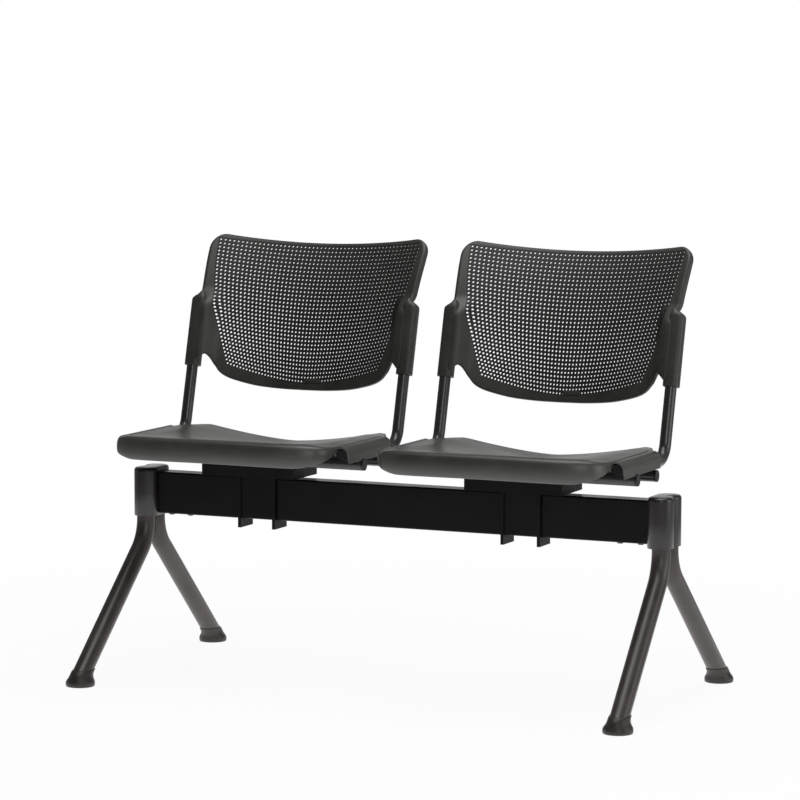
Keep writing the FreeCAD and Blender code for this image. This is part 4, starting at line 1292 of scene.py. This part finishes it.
# a dark card behind the camera keeps the faces turned to it dark, as the studio's dark side does
felt = new_material("black_felt")
felt_body = add(felt.node_tree, "ShaderNodeBsdfDiffuse", values={"Color": linear("#141414")})
add(felt.node_tree, "ShaderNodeOutputMaterial", links={"Surface": (felt_body, "BSDF")})
card_corners = [(-16, -9, 0), (16, -9, 0), (16, -9, 16), (-16, -9, 16)]
card = flat_sheet("dark_card", card_corners, felt)
card.visible_camera = False

world = bpy.data.worlds.new("studio")
bpy.context.scene.world = world
world.use_nodes = True
sky = world.node_tree
sky.nodes.clear()
path = add(sky, "ShaderNodeLightPath")
seen = add(
    sky,
    "ShaderNodeMath",
    {"operation": "MAXIMUM"},
    {0: (path, "Is Camera Ray"), 1: (path, "Is Transmission Ray")},
)
white_sky = linear("#ffffff")
ambient = add(sky, "ShaderNodeBackground", values={"Color": white_sky, "Strength": 0.18})
backdrop = add(sky, "ShaderNodeBackground", values={"Color": white_sky, "Strength": 1.0})
both = add(
    sky,
    "ShaderNodeMixShader",
    links={"Fac": (seen, "Value"), 1: (ambient, "Background"), 2: (backdrop, "Background")},
)
add(sky, "ShaderNodeOutputWorld", links={"Surface": (both, "Shader")})

paper = new_material("backdrop_paper")
tree = paper.node_tree
path = add(tree, "ShaderNodeLightPath")
matt = add(tree, "ShaderNodeBsdfDiffuse", values={"Color": linear("#f4f4f4")})
# The floor mixes matt paper with a glow. Near the seating, where near is 1, other rays than the
# camera's meet only glow, as over a table lit from below, and farther out only paper. The camera
# sees glow everywhere, with a share of paper near the seating that lets a faint shadow show.
GLOW_FROM = 0.6
GLOW_TO = 2.2
PAPER_SHARE = 0.06
GLOW_SEEN = 1.0
GLOW_UNSEEN = 1.3
place = add(tree, "ShaderNodeTexCoord")
away = add(tree, "ShaderNodeVectorMath", {"operation": "LENGTH"}, {"Vector": (place, "Object")})
near = add(
    tree,
    "ShaderNodeMapRange",
    {"interpolation_type": "SMOOTHSTEP"},
    {"Value": (away, "Value")},
    {"From Min": GLOW_FROM, "From Max": GLOW_TO, "To Min": 1.0, "To Max": 0.0},
)
multiply_add = {"operation": "MULTIPLY_ADD"}
shown = add(
    tree,
    "ShaderNodeMath",
    multiply_add,
    links={0: (near, "Result")},
    values={1: -1.0 - PAPER_SHARE, 2: 1.0},
)
lit = add(
    tree,
    "ShaderNodeMath",
    multiply_add,
    {0: (path, "Is Camera Ray"), 1: (shown, "Value"), 2: (near, "Result")},
)
glow = add(
    tree,
    "ShaderNodeMath",
    multiply_add,
    links={0: (path, "Is Camera Ray")},
    values={1: GLOW_SEEN - GLOW_UNSEEN, 2: GLOW_UNSEEN},
)
white = add(
    tree,
    "ShaderNodeEmission",
    links={"Strength": (glow, "Value")},
    values={"Color": linear("#ffffff")},
)
mixed = add(
    tree,
    "ShaderNodeMixShader",
    links={"Fac": (lit, "Value"), 1: (matt, "BSDF"), 2: (white, "Emission")},
)
add(tree, "ShaderNodeOutputMaterial", links={"Surface": (mixed, "Shader")})
paper.cycles.emission_sampling = "NONE"
FLOOR_LEVEL = -0.0005
floor_corners = [
    (-60, -8.9, FLOOR_LEVEL),
    (60, -8.9, FLOOR_LEVEL),
    (60, 60, FLOOR_LEVEL),
    (-60, 60, FLOOR_LEVEL),
]
floor = flat_sheet("floor", floor_corners, paper)
